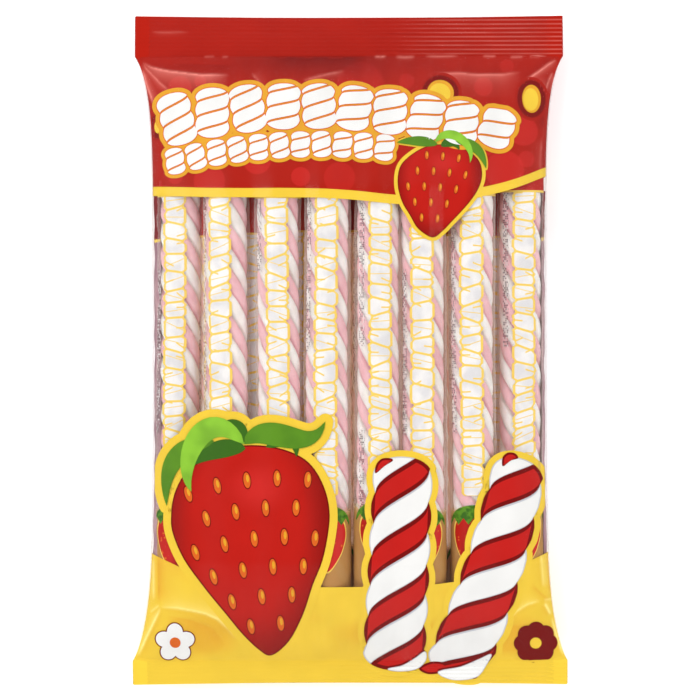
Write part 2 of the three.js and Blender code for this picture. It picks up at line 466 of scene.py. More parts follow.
def back_height(x, y):
    """Height of the film's back above the floor."""
    across = np.clip(np.abs(x) / half_width(y), 0, 1)
    drop = superellipse(np.maximum(across - BACK_FLAT, 0) / (1 - BACK_FLAT), BACK_FULLNESS)
    lowest = (seal_height(x, y) - SEAL_THICKNESS / 2) * (1 - fill(depth_at(y), of_end("back_taper", y)))
    lowest = np.maximum(lowest, SEAM_ROOM) - 0.5 * pleats(x, y) * (depth_at(y) < 20 * MM)
    side = side_height(x, y)
    return side - (side - lowest) * drop


# Way round a section, from -1 at the left side over the front to 1 at the right side, and on under the
# back to 3, which is the left side again. Equal steps of it are equal steps along the film.
QUARTER_TURNS = np.linspace(-math.pi / 2, math.pi / 2, 721)
ACROSS = np.sin(QUARTER_TURNS)


def share_of_way(rise):
    """How far round each place of ACROSS lies, from 0 to 1, on a section with the given rise."""
    steps = np.hypot(np.diff(ACROSS * BODY_WIDTH / 2), np.diff(rise))
    run = np.concatenate([[0], np.cumsum(steps)])
    return run / run[-1]


FRONT_SHARE = share_of_way((BODY_THICKNESS - SIDE_HEIGHT) * superellipse(ACROSS, FRONT_FULLNESS))
FROM_FLAT = np.maximum(np.abs(ACROSS) - BACK_FLAT, 0) / (1 - BACK_FLAT)
BACK_SHARE = share_of_way(SIDE_HEIGHT * superellipse(FROM_FLAT, BACK_FULLNESS))


def film_point(way, y):
    """Place of the film at a way round the section, for arrays of equal shape."""
    way = (np.asarray(way) + 1) % 4 - 1
    front = way <= 1
    across = np.where(
        front,
        np.interp((way + 1) / 2, FRONT_SHARE, ACROSS),
        -np.interp((way - 1) / 2, BACK_SHARE, ACROSS),
    )
    x = across * half_width(y)
    z = np.where(front, front_height(x, y), back_height(x, y))
    bowed = y - np.sign(y) * EDGE_BOW * (1 - across**2) * outward_at(y)
    return np.stack([x, bowed, z], axis=-1)


def film_normal(way, y):
    """Direction out of the film."""
    small_way, small_run = 0.006, 0.3 * MM
    round_it = film_point(way + small_way, y) - film_point(way - small_way, y)
    along_it = film_point(way, y + small_run) - film_point(way, y - small_run)
    normal = np.cross(round_it, along_it)
    return normal / np.linalg.norm(normal, axis=-1, keepdims=True)


def under_film(way, y, depth):
    """Place at a depth under the film's outer face."""
    return film_point(way, y) - np.expand_dims(depth, -1) * film_normal(way, y)


# ---- Modelling helpers ----

TOUCHING = 0.004 * MM  # vertices closer than this are one


def deselect():
    """Leaves nothing selected."""
    bpy.ops.object.select_all(action="DESELECT")


def select(*pieces):
    """Selects pieces and nothing else, and makes the first one active."""
    deselect()
    for piece in pieces:
        piece.select_set(True)
    bpy.context.view_layer.objects.active = pieces[0]


def new_sheet(name, columns, rows):
    """A flat sheet of quads from -1 to 1 each way, ready to be shaped, and its vertices."""
    deselect()
    bpy.ops.mesh.primitive_grid_add(x_subdivisions=columns, y_subdivisions=rows, size=2)
    sheet = bpy.context.object
    sheet.name = name
    sheet.data.name = name
    return sheet, places_of(sheet)


def places_of(piece):
    """Every vertex of a piece, one row each."""
    flat = np.empty(3 * len(piece.data.vertices))
    piece.data.vertices.foreach_get("co", flat)
    return flat.reshape(-1, 3)


def spread(flat, low, high):
    """Places of a new sheet, from -1 to 1, spread from low to high."""
    return low + (flat + 1) / 2 * (high - low)


def squared_off(value, power):
    """A sine or cosine raised to a power under 1, which turns a circle into a rounder square."""
    return np.sign(value) * np.abs(value) ** power


def move_to(piece, places):
    """Moves every vertex of a piece."""
    piece.data.vertices.foreach_set("co", np.ascontiguousarray(places).ravel())
    piece.data.update()


def in_edit_mode(piece, *steps):
    """Runs steps on a piece in edit mode, each with all of it selected."""
    select(piece)
    bpy.ops.object.mode_set(mode="EDIT")
    for step in steps:
        bpy.ops.mesh.select_all(action="SELECT")
        step()
    bpy.ops.object.mode_set(mode="OBJECT")


def merge_doubles():
    """Closes the seams of the mesh that is being edited."""
    bpy.ops.mesh.remove_doubles(threshold=TOUCHING)


def drop_empty_faces():
    """Takes faces without area out of the mesh that is being edited."""
    bpy.ops.mesh.dissolve_degenerate(threshold=TOUCHING)


def fill_holes():
    """Closes the open ends of the mesh that is being edited."""
    bpy.ops.mesh.fill_holes(sides=0)


def face_outwards():
    """Turns all faces of the mesh that is being edited outwards."""
    bpy.ops.mesh.normals_make_consistent(inside=False)


def smooth(piece, angle):
    """Shades a piece smooth, apart from edges sharper than an angle in degrees."""
    select(piece)
    bpy.ops.object.shade_smooth_by_angle(angle=math.radians(angle))


def join(pieces, name):
    """Joins pieces into one, with its place in its mesh."""
    select(*pieces)
    if len(pieces) > 1:
        bpy.ops.object.join()
    joined = bpy.context.object
    bpy.ops.object.transform_apply(location=True, rotation=True, scale=True)
    joined.name = name
    joined.data.name = name
    return joined


def set_material(piece, *materials):
    """Gives a piece its materials."""
    piece.data.materials.clear()
    for material in materials:
        piece.data.materials.append(material)


def finish_piece(piece, angle, material=None):
    """Makes a piece part of the pack, attached to its root, shaded smooth up to an angle in degrees."""
    smooth(piece, angle)
    if material:
        set_material(piece, material)
    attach(piece, "root")


# ---- Materials ----


def sum_of(operation):
    """A method of Number that adds one sum to the material."""
    return lambda number, *others: number.recipe.maths(operation, number, *others)


class Number:
    """A number that a material works out at each place. A sum on it is a node of the material."""

    def __init__(self, recipe, socket):
        self.recipe = recipe
        self.socket = socket

    __add__ = sum_of("ADD")
    __sub__ = sum_of("SUBTRACT")
    __mul__ = sum_of("MULTIPLY")
    __truediv__ = sum_of("DIVIDE")
    __pow__ = sum_of("POWER")
    __gt__ = sum_of("GREATER_THAN")
    __lt__ = sum_of("LESS_THAN")
    __abs__ = sum_of("ABSOLUTE")
    __floor__ = sum_of("FLOOR")
    __round__ = sum_of("ROUND")

    def __rsub__(self, other):
        return self.recipe.maths("SUBTRACT", other, self)


class Recipe:
    """The nodes of a new material or of the surroundings, and short ways to add to them."""

    def __init__(self, name, kind="materials"):
        self.owner = getattr(bpy.data, kind).new(name)
        self.owner.use_nodes = True
        self.tree = self.owner.node_tree
        self.tree.nodes.clear()
        self.output = self.node("OutputWorld" if kind == "worlds" else "OutputMaterial")

    def feed(self, socket, value):
        """Links a socket to another node's output, or sets its value."""
        if isinstance(value, Number):
            value = value.socket
        if isinstance(value, bpy.types.NodeSocket):
            self.tree.links.new(value, socket)
        elif socket.type == "RGBA":
            socket.default_value = (*value[:3], 1)
        else:
            socket.default_value = value

    def node(self, kind, **values):
        """A node with values for its sockets, whose names have _ for each space."""
        node = self.tree.nodes.new("ShaderNode" + kind)
        for name, value in values.items():
            self.feed(node.inputs[name.replace("_", " ")], value)
        return node

    def maths(self, operation, *values):
        """The result of a sum on numbers."""
        node = self.node("Math")
        node.operation = operation
        for socket, value in zip(node.inputs, values):
            self.feed(socket, value)
        return Number(self, node.outputs[0])

    def root(self, value):
        """The square root of a number."""
        return self.maths("SQRT", value)

    def most(self, first, *others):
        """The largest of some numbers."""
        for other in others:
            first = self.maths("MAXIMUM", first, other)
        return first

    def rise(self, value, start, end):
        """0 where value is at start, 1 where it is at end, and a soft rise in between."""
        node = self.node("MapRange", Value=value, From_Min=start, From_Max=end)
        node.interpolation_type = "SMOOTHSTEP"
        return Number(self, node.outputs["Result"])

    def blend(self, share, first, second):
        """A colour between two."""
        node = self.node("Mix")
        node.data_type = "RGBA"
        self.feed(node.inputs[0], share)
        self.feed(node.inputs[6], first)
        self.feed(node.inputs[7], second)
        return node.outputs[2]

    @functools.cached_property
    def place(self):
        """The place on the object, in metres."""
        return self.node("TexCoord").outputs["Object"]

    @functools.cached_property
    def xyz(self):
        """Its X, Y and Z."""
        return self.parts(self.place)

    def reach(self, centre, width, height):
        """Distance from a centre in mm, with 1 at the edge of an ellipse of the given width and height."""
        x, y, _ = self.xyz
        across = (x - centre[0] * MM) / (width / 2 * MM)
        along = (y - centre[1] * MM) / (height / 2 * MM)
        return self.root(across * across + along * along)

    def mapped(self, name):
        """The place on a map of the piece's own."""
        node = self.node("UVMap")
        node.uv_map = name
        return node.outputs[0]

    def parts(self, vector):
        """The X, Y and Z of a vector."""
        return [Number(self, part) for part in self.node("SeparateXYZ", Vector=vector).outputs]

    def channels(self, colour):
        """The red, green and blue of a colour."""
        return [Number(self, part) for part in self.node("SeparateColor", Color=colour).outputs]

    def noise(self, size, vector=None, detail=2.0):
        """A cloudy pattern whose clouds are about one size across."""
        vector = vector or self.place
        return Number(self, self.node("TexNoise", Vector=vector, Scale=1 / size, Detail=detail).outputs[0])

    def stretched(self, *factors):
        """The place on the object, with its parts multiplied."""
        return self.node("Mapping", Vector=self.place, Scale=factors).outputs[0]

    def bump(self, height, distance):
        """Small relief."""
        return self.node("Bump", Height=height, Distance=distance).outputs[0]

    def surface(self, **values):
        """The shader of a solid surface."""
        return self.node("BsdfPrincipled", **values).outputs[0]

    def mix(self, share, first, second):
        """A shader between two."""
        node = self.node("MixShader")
        for socket, value in zip(node.inputs, (share, first, second)):
            self.feed(socket, value)
        return node.outputs[0]

    def finish(self, shader):
        """Puts a shader on the surface."""
        self.feed(self.output.inputs["Surface"], shader)
        return self.owner


MOST_MIRRORED = 0.24  # share of the light that the film mirrors at the flattest slant
PRINT_ROUGHNESS = 0.22  # added to the film's own over the printed fields


def add_clear_film(recipe, reflectance, roughness, tint, haze, haze_colour, bump):
    """The shader of a thin clear film: at a slant it mirrors more light, and looks more milky."""
    facing = Number(recipe, recipe.node("LayerWeight", Blend=0.5).outputs["Facing"])
    mirrored = facing**5 * (MOST_MIRRORED - reflectance) + reflectance
    milky = facing**2 * haze + haze * 0.04
    clear = recipe.node("BsdfTransparent", Color=tint).outputs[0]
    milk = recipe.node("BsdfDiffuse", Color=haze_colour).outputs[0]
    gloss = recipe.node("BsdfAnisotropic", Color=(1, 1, 1), Roughness=roughness, Normal=bump).outputs[0]
    return recipe.mix(mirrored, recipe.mix(milky, clear, milk), gloss)


def film_material():
    """Clear glossy film with faint scuffs, less glossy where it is printed."""
    film = bpy.context.scene.pack_film
    recipe = Recipe("clear_film")
    _, y, _ = recipe.xyz
    above = recipe.rise(y, TRIM_LEVEL - 2 * MM, TRIM_LEVEL + 2 * MM)
    below = recipe.rise(y, BOTTOM_LEVEL + 2 * MM, BOTTOM_LEVEL - 2 * MM)
    printed = recipe.most(above, below)
    scuffs = recipe.noise(9 * MM, recipe.stretched(1, 0.4, 1), detail=4)
    roughness = printed * PRINT_ROUGHNESS + (scuffs * 0.12 + (film.roughness - 0.05))
    bump = recipe.bump(recipe.noise(5 * MM, detail=3), 0.05 * MM)
    tint, milk = (0.985, 0.98, 0.978), (0.7, 0.66, 0.64)
    return recipe.finish(add_clear_film(recipe, film.reflectance, roughness, tint, 0.07, milk, bump))


def finish_ink(recipe, base):
    """Finishes a material as ink on the inner face of the film, a little cloudy."""
    shade = recipe.noise(14 * MM, detail=3) * 0.16 + 0.92
    toned = recipe.node("HueSaturation", Value=shade, Color=base).outputs[0]
    return recipe.finish(recipe.surface(Base_Color=toned, Roughness=0.45, Specular_IOR_Level=0.05))


def ink_material(name, colour_name):
    """Plain ink in one of the pack's colours."""
    return finish_ink(Recipe(name), getattr(bpy.context.scene.pack_print, colour_name))


def with_painted_fold_light(recipe, shade, highlight_colour, fold_shade_colour):
    """A colour with painted highlights along the folds of the film and painted shade beside them."""
    tones = recipe.node("Attribute")
    tones.attribute_name = "folds"
    # The folds attribute holds painted highlight in red and painted shade in green.
    painted_highlight, dark, _ = recipe.channels(tones.outputs["Color"])
    shade = recipe.blend(dark, shade, fold_shade_colour)
    return recipe.blend(painted_highlight, shade, highlight_colour)


# Lighter dots of the top field: place and width, in mm, and strength.
FAINT_DOTS = (
    ((-37.9, 78.3), 11.6, 0.6),
    ((-57.8, 70.0), 13.2, 0.5),
    ((-70.6, 109.4), 10.0, 0.5),
    ((4.7, 110.6), 19.8, 0.35),
    ((64.4, 74.3), 16.5, 0.6),
    ((72.4, 90.7), 12.4, 0.6),
    ((27.5, 97.5), 9.0, 0.5),
    ((-4.0, 71.0), 13.0, 0.4),
    ((-20.0, 71.5), 8.0, 0.6),
    ((56.0, 109.5), 8.0, 0.45),
    ((73.5, 79.0), 7.0, 0.5),
    ((57.0, 84.0), 7.5, 0.5),
    ((-62.0, 112.3), 5.0, 0.5),
    ((24.0, 112.0), 6.5, 0.4),
    ((66.0, 118.5), 6.0, 0.35),
    ((-72.0, 72.0), 6.5, 0.5),
)


def top_field_material():
    """Red ink with faint round dots, painted shade under the seal, painted fold light, and painted
    highlights on the seal's ribs on the right.
    """
    inks = bpy.context.scene.pack_print
    recipe = Recipe("red_field")
    x, y, _ = recipe.xyz
    shade = inks.red
    for centre, width, strength in FAINT_DOTS:
        reach = recipe.reach(centre, width, width)
        shade = recipe.blend(recipe.rise(reach, 1.04, 0.93) * strength, shade, inks.light_red)
    # Painted shade in the empty hollow just under the top seal.
    up = y - TOP_SEAL_LINE
    below_seal = recipe.rise(up, -14 * MM, -2 * MM)
    in_body = recipe.rise(up, 0.4 * MM, -0.4 * MM)
    middle = recipe.rise(abs(x + 12 * MM), 60 * MM, 12 * MM)
    shade = recipe.blend(below_seal * in_body * middle * 0.5, shade, inks.dark_red)
    shade = with_painted_fold_light(recipe, shade, inks.fold_highlight_red, inks.dark_red)

    # Painted highlights on the crests of the seal's ribs, stronger on the right, in uneven patches.
    wave = recipe.maths("SINE", up * (math.pi / bpy.context.scene.pack_film.rib_pitch))
    in_seal = recipe.rise(up, 0.3 * MM, 0.9 * MM)
    rib_highlight_patches = recipe.rise(recipe.noise(6 * MM, recipe.stretched(0.4, 2.5, 1)), 0.2, 0.6)
    pressed = recipe.rise(x, 16 * MM, 46 * MM) * (rib_highlight_patches * 0.18 + 0.1)
    shade = recipe.blend(abs(wave) ** 7 * in_seal * pressed, shade, inks.fold_highlight_red)
    return finish_ink(recipe, shade)


def bottom_field_material():
    """Yellow ink with random amber clouds, painted shade in both corners where the film is empty, and
    painted fold light.
    """
    inks = bpy.context.scene.pack_print
    recipe = Recipe("yellow_field")
    _, y, _ = recipe.xyz
    amber = recipe.rise(recipe.noise(26 * MM), 0.5, 0.75) * 0.5
    # Painted shade in the empty corners and low in the middle.
    for centre, width, height in (((-61, -119), 34, 22), ((70, -121), 36, 22), ((20, -118), 60, 16)):
        reach = recipe.reach(centre, width, height)
        amber = recipe.most(amber, recipe.rise(reach, 1.15, 0.35))
    in_body = recipe.rise(y, BOTTOM_SEAL_LINE, BOTTOM_SEAL_LINE + 5 * MM)
    shade = recipe.blend(amber * in_body * 0.55, inks.yellow, inks.amber)
    return finish_ink(recipe, with_painted_fold_light(recipe, shade, inks.fold_highlight_yellow, inks.amber))


def marshmallow_material(name, base, deep_tone_and_shade, painted_glow):
    """Soft matte marshmallow with painted shade beside the grooves, and an emission that paints the glow of
    light coming through it.
    """
    recipe = Recipe(name)
    across, _, _ = recipe.parts(recipe.mapped("strand"))
    # Painted shade beside each groove between strands.
    groove_shade = recipe.rise(abs(across * 2 - 1), 0.72, 1)
    cloud = recipe.rise(recipe.noise(7 * MM, detail=3), 0.3, 0.75)
    shade = recipe.blend(cloud * 0.35, base, deep_tone_and_shade)
    shade = recipe.blend(groove_shade * 0.7, shade, deep_tone_and_shade)
    body = recipe.surface(
        Base_Color=shade,
        Roughness=0.62,
        Normal=recipe.bump(recipe.noise(0.7 * MM, detail=3), 0.12 * MM),
        Specular_IOR_Level=0.3,
        # Painted glow: emission that stands in for light passing through the marshmallow.
        Emission_Color=(1, 0.72, 0.5),
        Emission_Strength=painted_glow,
        Subsurface_Weight=0.2,
        Subsurface_Radius=(1.0, 0.6, 0.5),
        Subsurface_Scale=1.2 * MM,
    )
    return recipe.finish(body)


def random_of(recipe, number):
    """Three chances from 0 to 1 that belong to a number."""
    dice = recipe.node("TexWhiteNoise")
    dice.noise_dimensions = "1D"
    recipe.feed(dice.inputs["W"], number)
    return recipe.channels(dice.outputs["Color"])


def wrapper_chain(recipe, across, along, seed):
    """A chain of white pieces with amber joints, grooves and cuts: its share, and the white's."""
    sizes = bpy.context.scene.pack_wrappers

    def random_line(number, salt, first, last, slope):
        """Distance from a slanted line between two shares of a numbered pitch, and one more chance."""
        spot, slant, chance = random_of(recipe, seed + number + salt)
        centre = (number + (spot * (last - first) + first)) * sizes.bead_pitch
        slant = slant * (2 * slope) - slope
        aside = along - (across * slant + centre)
        return abs(aside) / recipe.root(slant * slant + 1), chance

    joint = round(along / sizes.bead_pitch)
    piece = math.floor(along / sizes.bead_pitch)
    from_joint, _ = random_line(joint, 0, -0.15, 0.15, 0.4)
    from_groove, size = random_line(piece, 0.5, 0.4, 0.6, 0.5)
    from_cut, side = random_line(piece, 0.75, 0.2, 0.8, 0.7)
    uncut = across * ((side > 0.5) * 2 - 1) < 0.6 * MM

    notch = recipe.rise(from_cut, 1 * MM, 0) * (1 - uncut) * (0.5 * MM)
    notch = notch + recipe.rise(from_joint, 1.5 * MM, 0.2 * MM) * (1 * MM)
    reach = abs(across) - (size * (-0.4 * MM) + sizes.print_width / 2 - notch)
    inside = recipe.rise(reach, -0.95 * MM, -1.2 * MM)
    joints = recipe.rise(from_joint, 0.36 * MM, 0.58 * MM)
    grooves = recipe.most(recipe.rise(from_groove, 0.06 * MM, 0.26 * MM), 1 - (size > 0.3))
    cuts = recipe.most(recipe.rise(from_cut, 0.2 * MM, 0.42 * MM), uncut)
    return recipe.rise(reach, 0.06 * MM, -0.06 * MM), inside * joints * grooves * cuts


def wrapper_berry(recipe, across, up, mapped):
    """A berry in a thin amber line, with flecks and a green cap: its share and its colour."""
    inks = bpy.context.scene.pack_print
    wide = across / (up * 0.3 + 8 * MM)
    high = up / (12.6 * MM)
    reach = recipe.root(wide * wide + high * high)
    zigzag = recipe.maths("PINGPONG", across, 2.1 * MM) * 1.3
    cap = recipe.rise(up + zigzag, 9.8 * MM, 10.1 * MM)
    flecks = recipe.node("TexVoronoi", Vector=mapped, Scale=WRAPPER_UV_SIZE / (2.6 * MM)).outputs["Distance"]
    lit = recipe.rise(across + up * -0.4, -9 * MM, 4 * MM)
    fruit = recipe.blend(lit, inks.fruit, inks.light_red)
    fruit = recipe.blend(recipe.rise(flecks, 0.24, 0.14), fruit, inks.orange)
    fruit = recipe.blend(recipe.rise(reach, 0.93, 0.97), fruit, inks.bead_edge)
    mottle = recipe.rise(recipe.noise(2.5 * MM / WRAPPER_UV_SIZE, mapped), 0.4, 0.6)
    fruit = recipe.blend(cap, fruit, recipe.blend(mottle, inks.dark_green, inks.green))
    share = recipe.most(recipe.rise(reach, 1.02, 0.99), recipe.rise(reach, 1.24, 1.2) * cap)
    return share, fruit


def wrapper_dashes(recipe, across, along, seed):
    """Lines of fine dark and light dashes beside the print, on some stretches: their share and colour."""
    # The dashes are partly print and partly painted glints and dark reflections of crinkled film.
    column, dash = across / DASH_COLUMN, along / DASH_ROW
    mark = math.floor(column) * COLUMN_STEP + math.floor(dash) + seed
    dark, light, _ = random_of(recipe, mark)
    chosen, _, _ = random_of(recipe, seed + math.floor(along / DASH_STRETCH) + 0.25)
    flank = recipe.maths("COMPARE", across, -7.9 * MM, 1.3 * MM)
    in_column = recipe.maths("COMPARE", recipe.maths("FRACT", column), 0.5, 0.33)
    in_dash = recipe.maths("COMPARE", recipe.maths("FRACT", dash), 0.5, 0.36)
    share = flank * in_column * in_dash * (chosen > 0.45) * (dark > 0.25)
    return share, recipe.blend(light > 0.6, DASH_GREY, bpy.context.scene.pack_print.bead_white)


def wrapper_material(name, haze, haze_colour):
    """Clear wrapper film with a printed chain of white pieces, a berry, and a band at each end."""
    inks = bpy.context.scene.pack_print
    recipe = Recipe(name)
    mapped = recipe.mapped("wrapper")
    across, run, _ = recipe.parts(mapped)
    across, run = across * WRAPPER_UV_SIZE, run * WRAPPER_UV_SIZE
    wrapper = round(run / WRAPPER_STEP)
    along = wrapper * -WRAPPER_STEP + run
    seed = wrapper * WRAPPER_SEEDS

    outline, white = wrapper_chain(recipe, across, along, seed)
    cloud = recipe.rise(recipe.noise(9 * MM / WRAPPER_UV_SIZE, mapped), 0.35, 0.65)
    bead = recipe.blend(cloud * 0.5, inks.bead_white, inks.pale_grey)
    shade = recipe.blend(white, inks.bead_edge, bead)
    in_row = recipe.rise(along, BEADS_FROM, BEADS_FROM + 0.3 * MM)

    low = recipe.rise(along, TAN_BELOW, TAN_BELOW - 5 * MM)
    shade = recipe.blend(low, shade, inks.tan)
    on_berry, berry = wrapper_berry(recipe, across, along - BERRY_AT, mapped)
    shade = recipe.blend(on_berry, shade, berry)

    band = recipe.rise(along, RED_ABOVE, RED_ABOVE + 0.1 * MM)
    red_part = recipe.rise(along, RED_ABOVE + 0.9 * MM, RED_ABOVE + 1 * MM)
    shade = recipe.blend(band, shade, recipe.blend(red_part, inks.bead_edge, inks.fruit))
    printed = recipe.most(outline * in_row * 0.94, low * 0.8, on_berry, band * 0.92)

    on_dash, dash = wrapper_dashes(recipe, across, along, seed)
    on_dash = on_dash * (printed < 0.5)
    shade = recipe.blend(on_dash, shade, dash)
    printed = recipe.most(printed, on_dash * 0.85)

    wrinkles = recipe.noise(2.6 * MM, recipe.stretched(1, 0.4, 1), detail=3)
    bump = recipe.bump(wrinkles, 0.07 * MM)
    tint = (0.985, 0.98, 0.975)
    film = add_clear_film(recipe, WRAPPER_REFLECTANCE, 0.11, tint, haze, haze_colour, bump)
    ink = recipe.surface(Base_Color=shade, Roughness=0.3, Normal=bump, Specular_IOR_Level=0.25)
    return recipe.finish(recipe.mix(printed, film, ink))


def flank_material():
    """Folded film of the wrappers as it shows along both sides, in painted shade: dusky red above, mauve
    below.
    """
    inks = bpy.context.scene.pack_print
    recipe = Recipe("wrapper_flanks")
    _, y, _ = recipe.xyz
    cloud = recipe.noise(6 * MM, recipe.stretched(1, 0.3, 1), detail=3)
    # Mauve and dusky red are the colours of wrappers seen in shadow: painted shade.
    shade = recipe.blend(recipe.rise(cloud, 0.3, 0.7), srgb(158, 118, 130), srgb(196, 160, 164))
    edge = cloud * (5 * MM) + 43 * MM
    shade = recipe.blend(recipe.rise(y, edge, edge + 0.3 * MM), shade, inks.bead_edge)
    above = edge + 1.2 * MM
    shade = recipe.blend(recipe.rise(y, above, above + 0.4 * MM), shade, srgb(132, 38, 42))
    folded = recipe.bump(recipe.noise(3 * MM, recipe.stretched(1, 0.25, 1), detail=3), 0.3 * MM)
    body = recipe.surface(Base_Color=shade, Roughness=0.35, Normal=folded, Specular_IOR_Level=0.3)
    return recipe.finish(body)


# ---- Film and printed fields ----

RIB_ROW = 0.36 * MM  # rows of the mesh across the seals' ribs
END_RUN = 32 * MM  # the part of the body beside each seal where the film is folded
FILM_ROWS = (0.66 * MM, 2.1 * MM)  # rows of the mesh there, and in between
FILM_COLUMNS = (230, 48)  # of the front and of the back
FIELD_ROWS = (0.5 * MM, 1.8 * MM)
FIELD_COLUMNS = (336, 44)
TRIM_COLUMNS = (190, 44)
PRINT_ROW = 1.2 * MM
INK_STEP = 0.06 * MM  # between two layers of ink
FIELD_DEPTH = 8 * INK_STEP  # of the fields, which lie under all other inks


def rows_between(low, high, row):
    """Y of rows at equal steps of about a size."""
    return np.linspace(low, high, round((high - low) / row) + 1)


def film_rows(end_row, middle_row):
    """Y of every row of a mesh, closest together in the seals and then beside them."""
    edge = PACK_LENGTH / 2
    low, high = BOTTOM_SEAL_LINE + END_RUN, TOP_SEAL_LINE - END_RUN
    parts = (
        rows_between(-edge, BOTTOM_SEAL_LINE, RIB_ROW),
        rows_between(BOTTOM_SEAL_LINE, low, end_row),
        rows_between(low, high, middle_row),
        rows_between(high, TOP_SEAL_LINE, end_row),
        rows_between(TOP_SEAL_LINE, edge, RIB_ROW),
    )
    return np.unique(np.round(np.concatenate(parts), 9))


def film_ways(front_columns, back_columns):
    """Way round of every column of a mesh, the last of which meets the first."""
    front = np.linspace(-1, 1, front_columns + 1)
    back = np.linspace(1, 3, back_columns + 1)
    return np.concatenate([front, back[1:]])


def rolled_sheet(name, rows, ways, depth, lowest=None, highest=None):
    """A sheet rolled round the contents at a depth under the film's face, between two edge lines."""
    sheet, flat = new_sheet(name, len(ways) - 1, len(rows) - 1)
    way = np.interp(flat[:, 0], np.linspace(-1, 1, len(ways)), ways)
    y = np.interp(flat[:, 1], np.linspace(-1, 1, len(rows)), rows)
    if lowest is not None:
        y = np.maximum(y, lowest(way))
    if highest is not None:
        y = np.minimum(y, highest(way))
    move_to(sheet, under_film(way, y, depth) if depth else film_point(way, y))
    in_edit_mode(sheet, merge_doubles, drop_empty_faces)
    return sheet


def paint_fold_light(field):
    """Stores the painted highlight and painted shade of the front's folds on a field's print."""
    x, y, z = places_of(field).T
    front = z > side_height(x, y)
    painted_highlight, dark = fold_light_and_shade(x, y)
    tones = np.stack([painted_highlight * front, dark * front, np.zeros_like(x), np.ones_like(x)], axis=-1)
    layer = field.data.color_attributes.new(name="folds", type="FLOAT_COLOR", domain="POINT")
    layer.data.foreach_set("color", tones.ravel())


def edge_line(places, level):
    """The line of a field's edge: through places given as (x, y) in mm on the front, level on the back."""
    xs, ys = np.array(places).T * MM

    def y_at(way):
        x = film_point(way, np.full_like(way, level))[..., 0]
        front = np.interp(x, xs, ys)
        way = (way + 1) % 4 - 1
        behind = smooth_step(way, 1, 1.3) * (1 - smooth_step(way, 2.7, 3))
        return front + (level - front) * behind

    return y_at


def curve_through(*places):
    """Places along a smooth curve through a few, given as (x, y)."""
    xs, ys = np.array(places, float).T
    slopes = np.gradient(ys, xs)
    fine = np.linspace(xs[0], xs[-1], 40)
    spot = np.clip(np.searchsorted(xs, fine, side="right") - 1, 0, len(xs) - 2)
    gap = xs[spot + 1] - xs[spot]
    t = (fine - xs[spot]) / gap
    bend_a = slopes[spot] * gap - (ys[spot + 1] - ys[spot])
    bend_b = -slopes[spot + 1] * gap + (ys[spot + 1] - ys[spot])
    smooth_y = (1 - t) * ys[spot] + t * ys[spot + 1] + t * (1 - t) * ((1 - t) * bend_a + t * bend_b)
    return list(zip(fine, smooth_y))


TRIM_LEVEL = 68 * MM  # of the trim line on the back
TRIM_LOWEST, TRIM_HIGHEST = 50 * MM, 84 * MM  # no place of the trim line lies outside these
TOP_LOWEST = 55 * MM  # nor any place of the top field under this
BOTTOM_LEVEL = -88 * MM  # of the bottom field's edge on the back
BOTTOM_HIGHEST = -78 * MM
TRIM_PLACES = curve_through(
    (-83, 66.2), (-60, 65.3), (0, 64), (21, 62), (56, 65.4), (70, 69.2), (83, 74.4)
)
BOTTOM_PLACES = curve_through(
    (-83, -84.6), (-60, -93.6), (-13, -98), (5, -98), (40, -96.4), (60, -92.8), (83, -84.3)
)
TRIM_LINE = edge_line(TRIM_PLACES, TRIM_LEVEL)
BOTTOM_LINE = edge_line(BOTTOM_PLACES, BOTTOM_LEVEL)


class Step:
    """What all steps of the pack share."""

    bl_options = {"REGISTER", "UNDO"}


class PACK_OT_film(Step, bpy.types.Operator):
    """Adds the clear film of the pack with its ribbed seals"""

    bl_idname = "marshmallow_pack.film"
    bl_label = "Film"

    def execute(self, context):
        film = rolled_sheet("pack_film", film_rows(*FILM_ROWS), film_ways(*FILM_COLUMNS), 0)
        in_edit_mode(film, fill_holes, face_outwards)
        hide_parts("pack")
        finish_piece(film, 50, film_material())
        return {"FINISHED"}


SEAM_ASIDE = 3 * MM  # right of the middle of the back
SEAM_HALF_WIDTH = 5 * MM
SEAM_DEPTH = 0.21 * MM  # of its middle, under the film
SEAM_HALF_THICKNESS = 0.18 * MM
SEAM_SQUARENESS = 0.4  # of its section: 1 would be an ellipse, 0 a rectangle
SEAM_REFLECTANCE = 0.06


def seam_material():
    """Three layers of film pressed together, in the print of the field that they belong to."""
    inks = bpy.context.scene.pack_print
    recipe = Recipe("back_seam")
    _, y, _ = recipe.xyz
    in_top = recipe.rise(y, TRIM_LEVEL - 0.1 * MM, TRIM_LEVEL + 0.1 * MM)
    in_bottom = recipe.rise(y, BOTTOM_LEVEL + 0.1 * MM, BOTTOM_LEVEL - 0.1 * MM)
    shade = recipe.blend(in_top, inks.yellow, inks.red)
    bump = recipe.bump(recipe.maths("SINE", y / (0.35 * MM)), 0.08 * MM)
    tint, milk = (0.93, 0.92, 0.92), (0.8, 0.78, 0.78)
    film = add_clear_film(recipe, SEAM_REFLECTANCE, 0.2, tint, 0.5, milk, bump)
    ink = recipe.surface(Base_Color=shade, Roughness=0.3, Normal=bump)
    return recipe.finish(recipe.mix(recipe.most(in_top, in_bottom), film, ink))


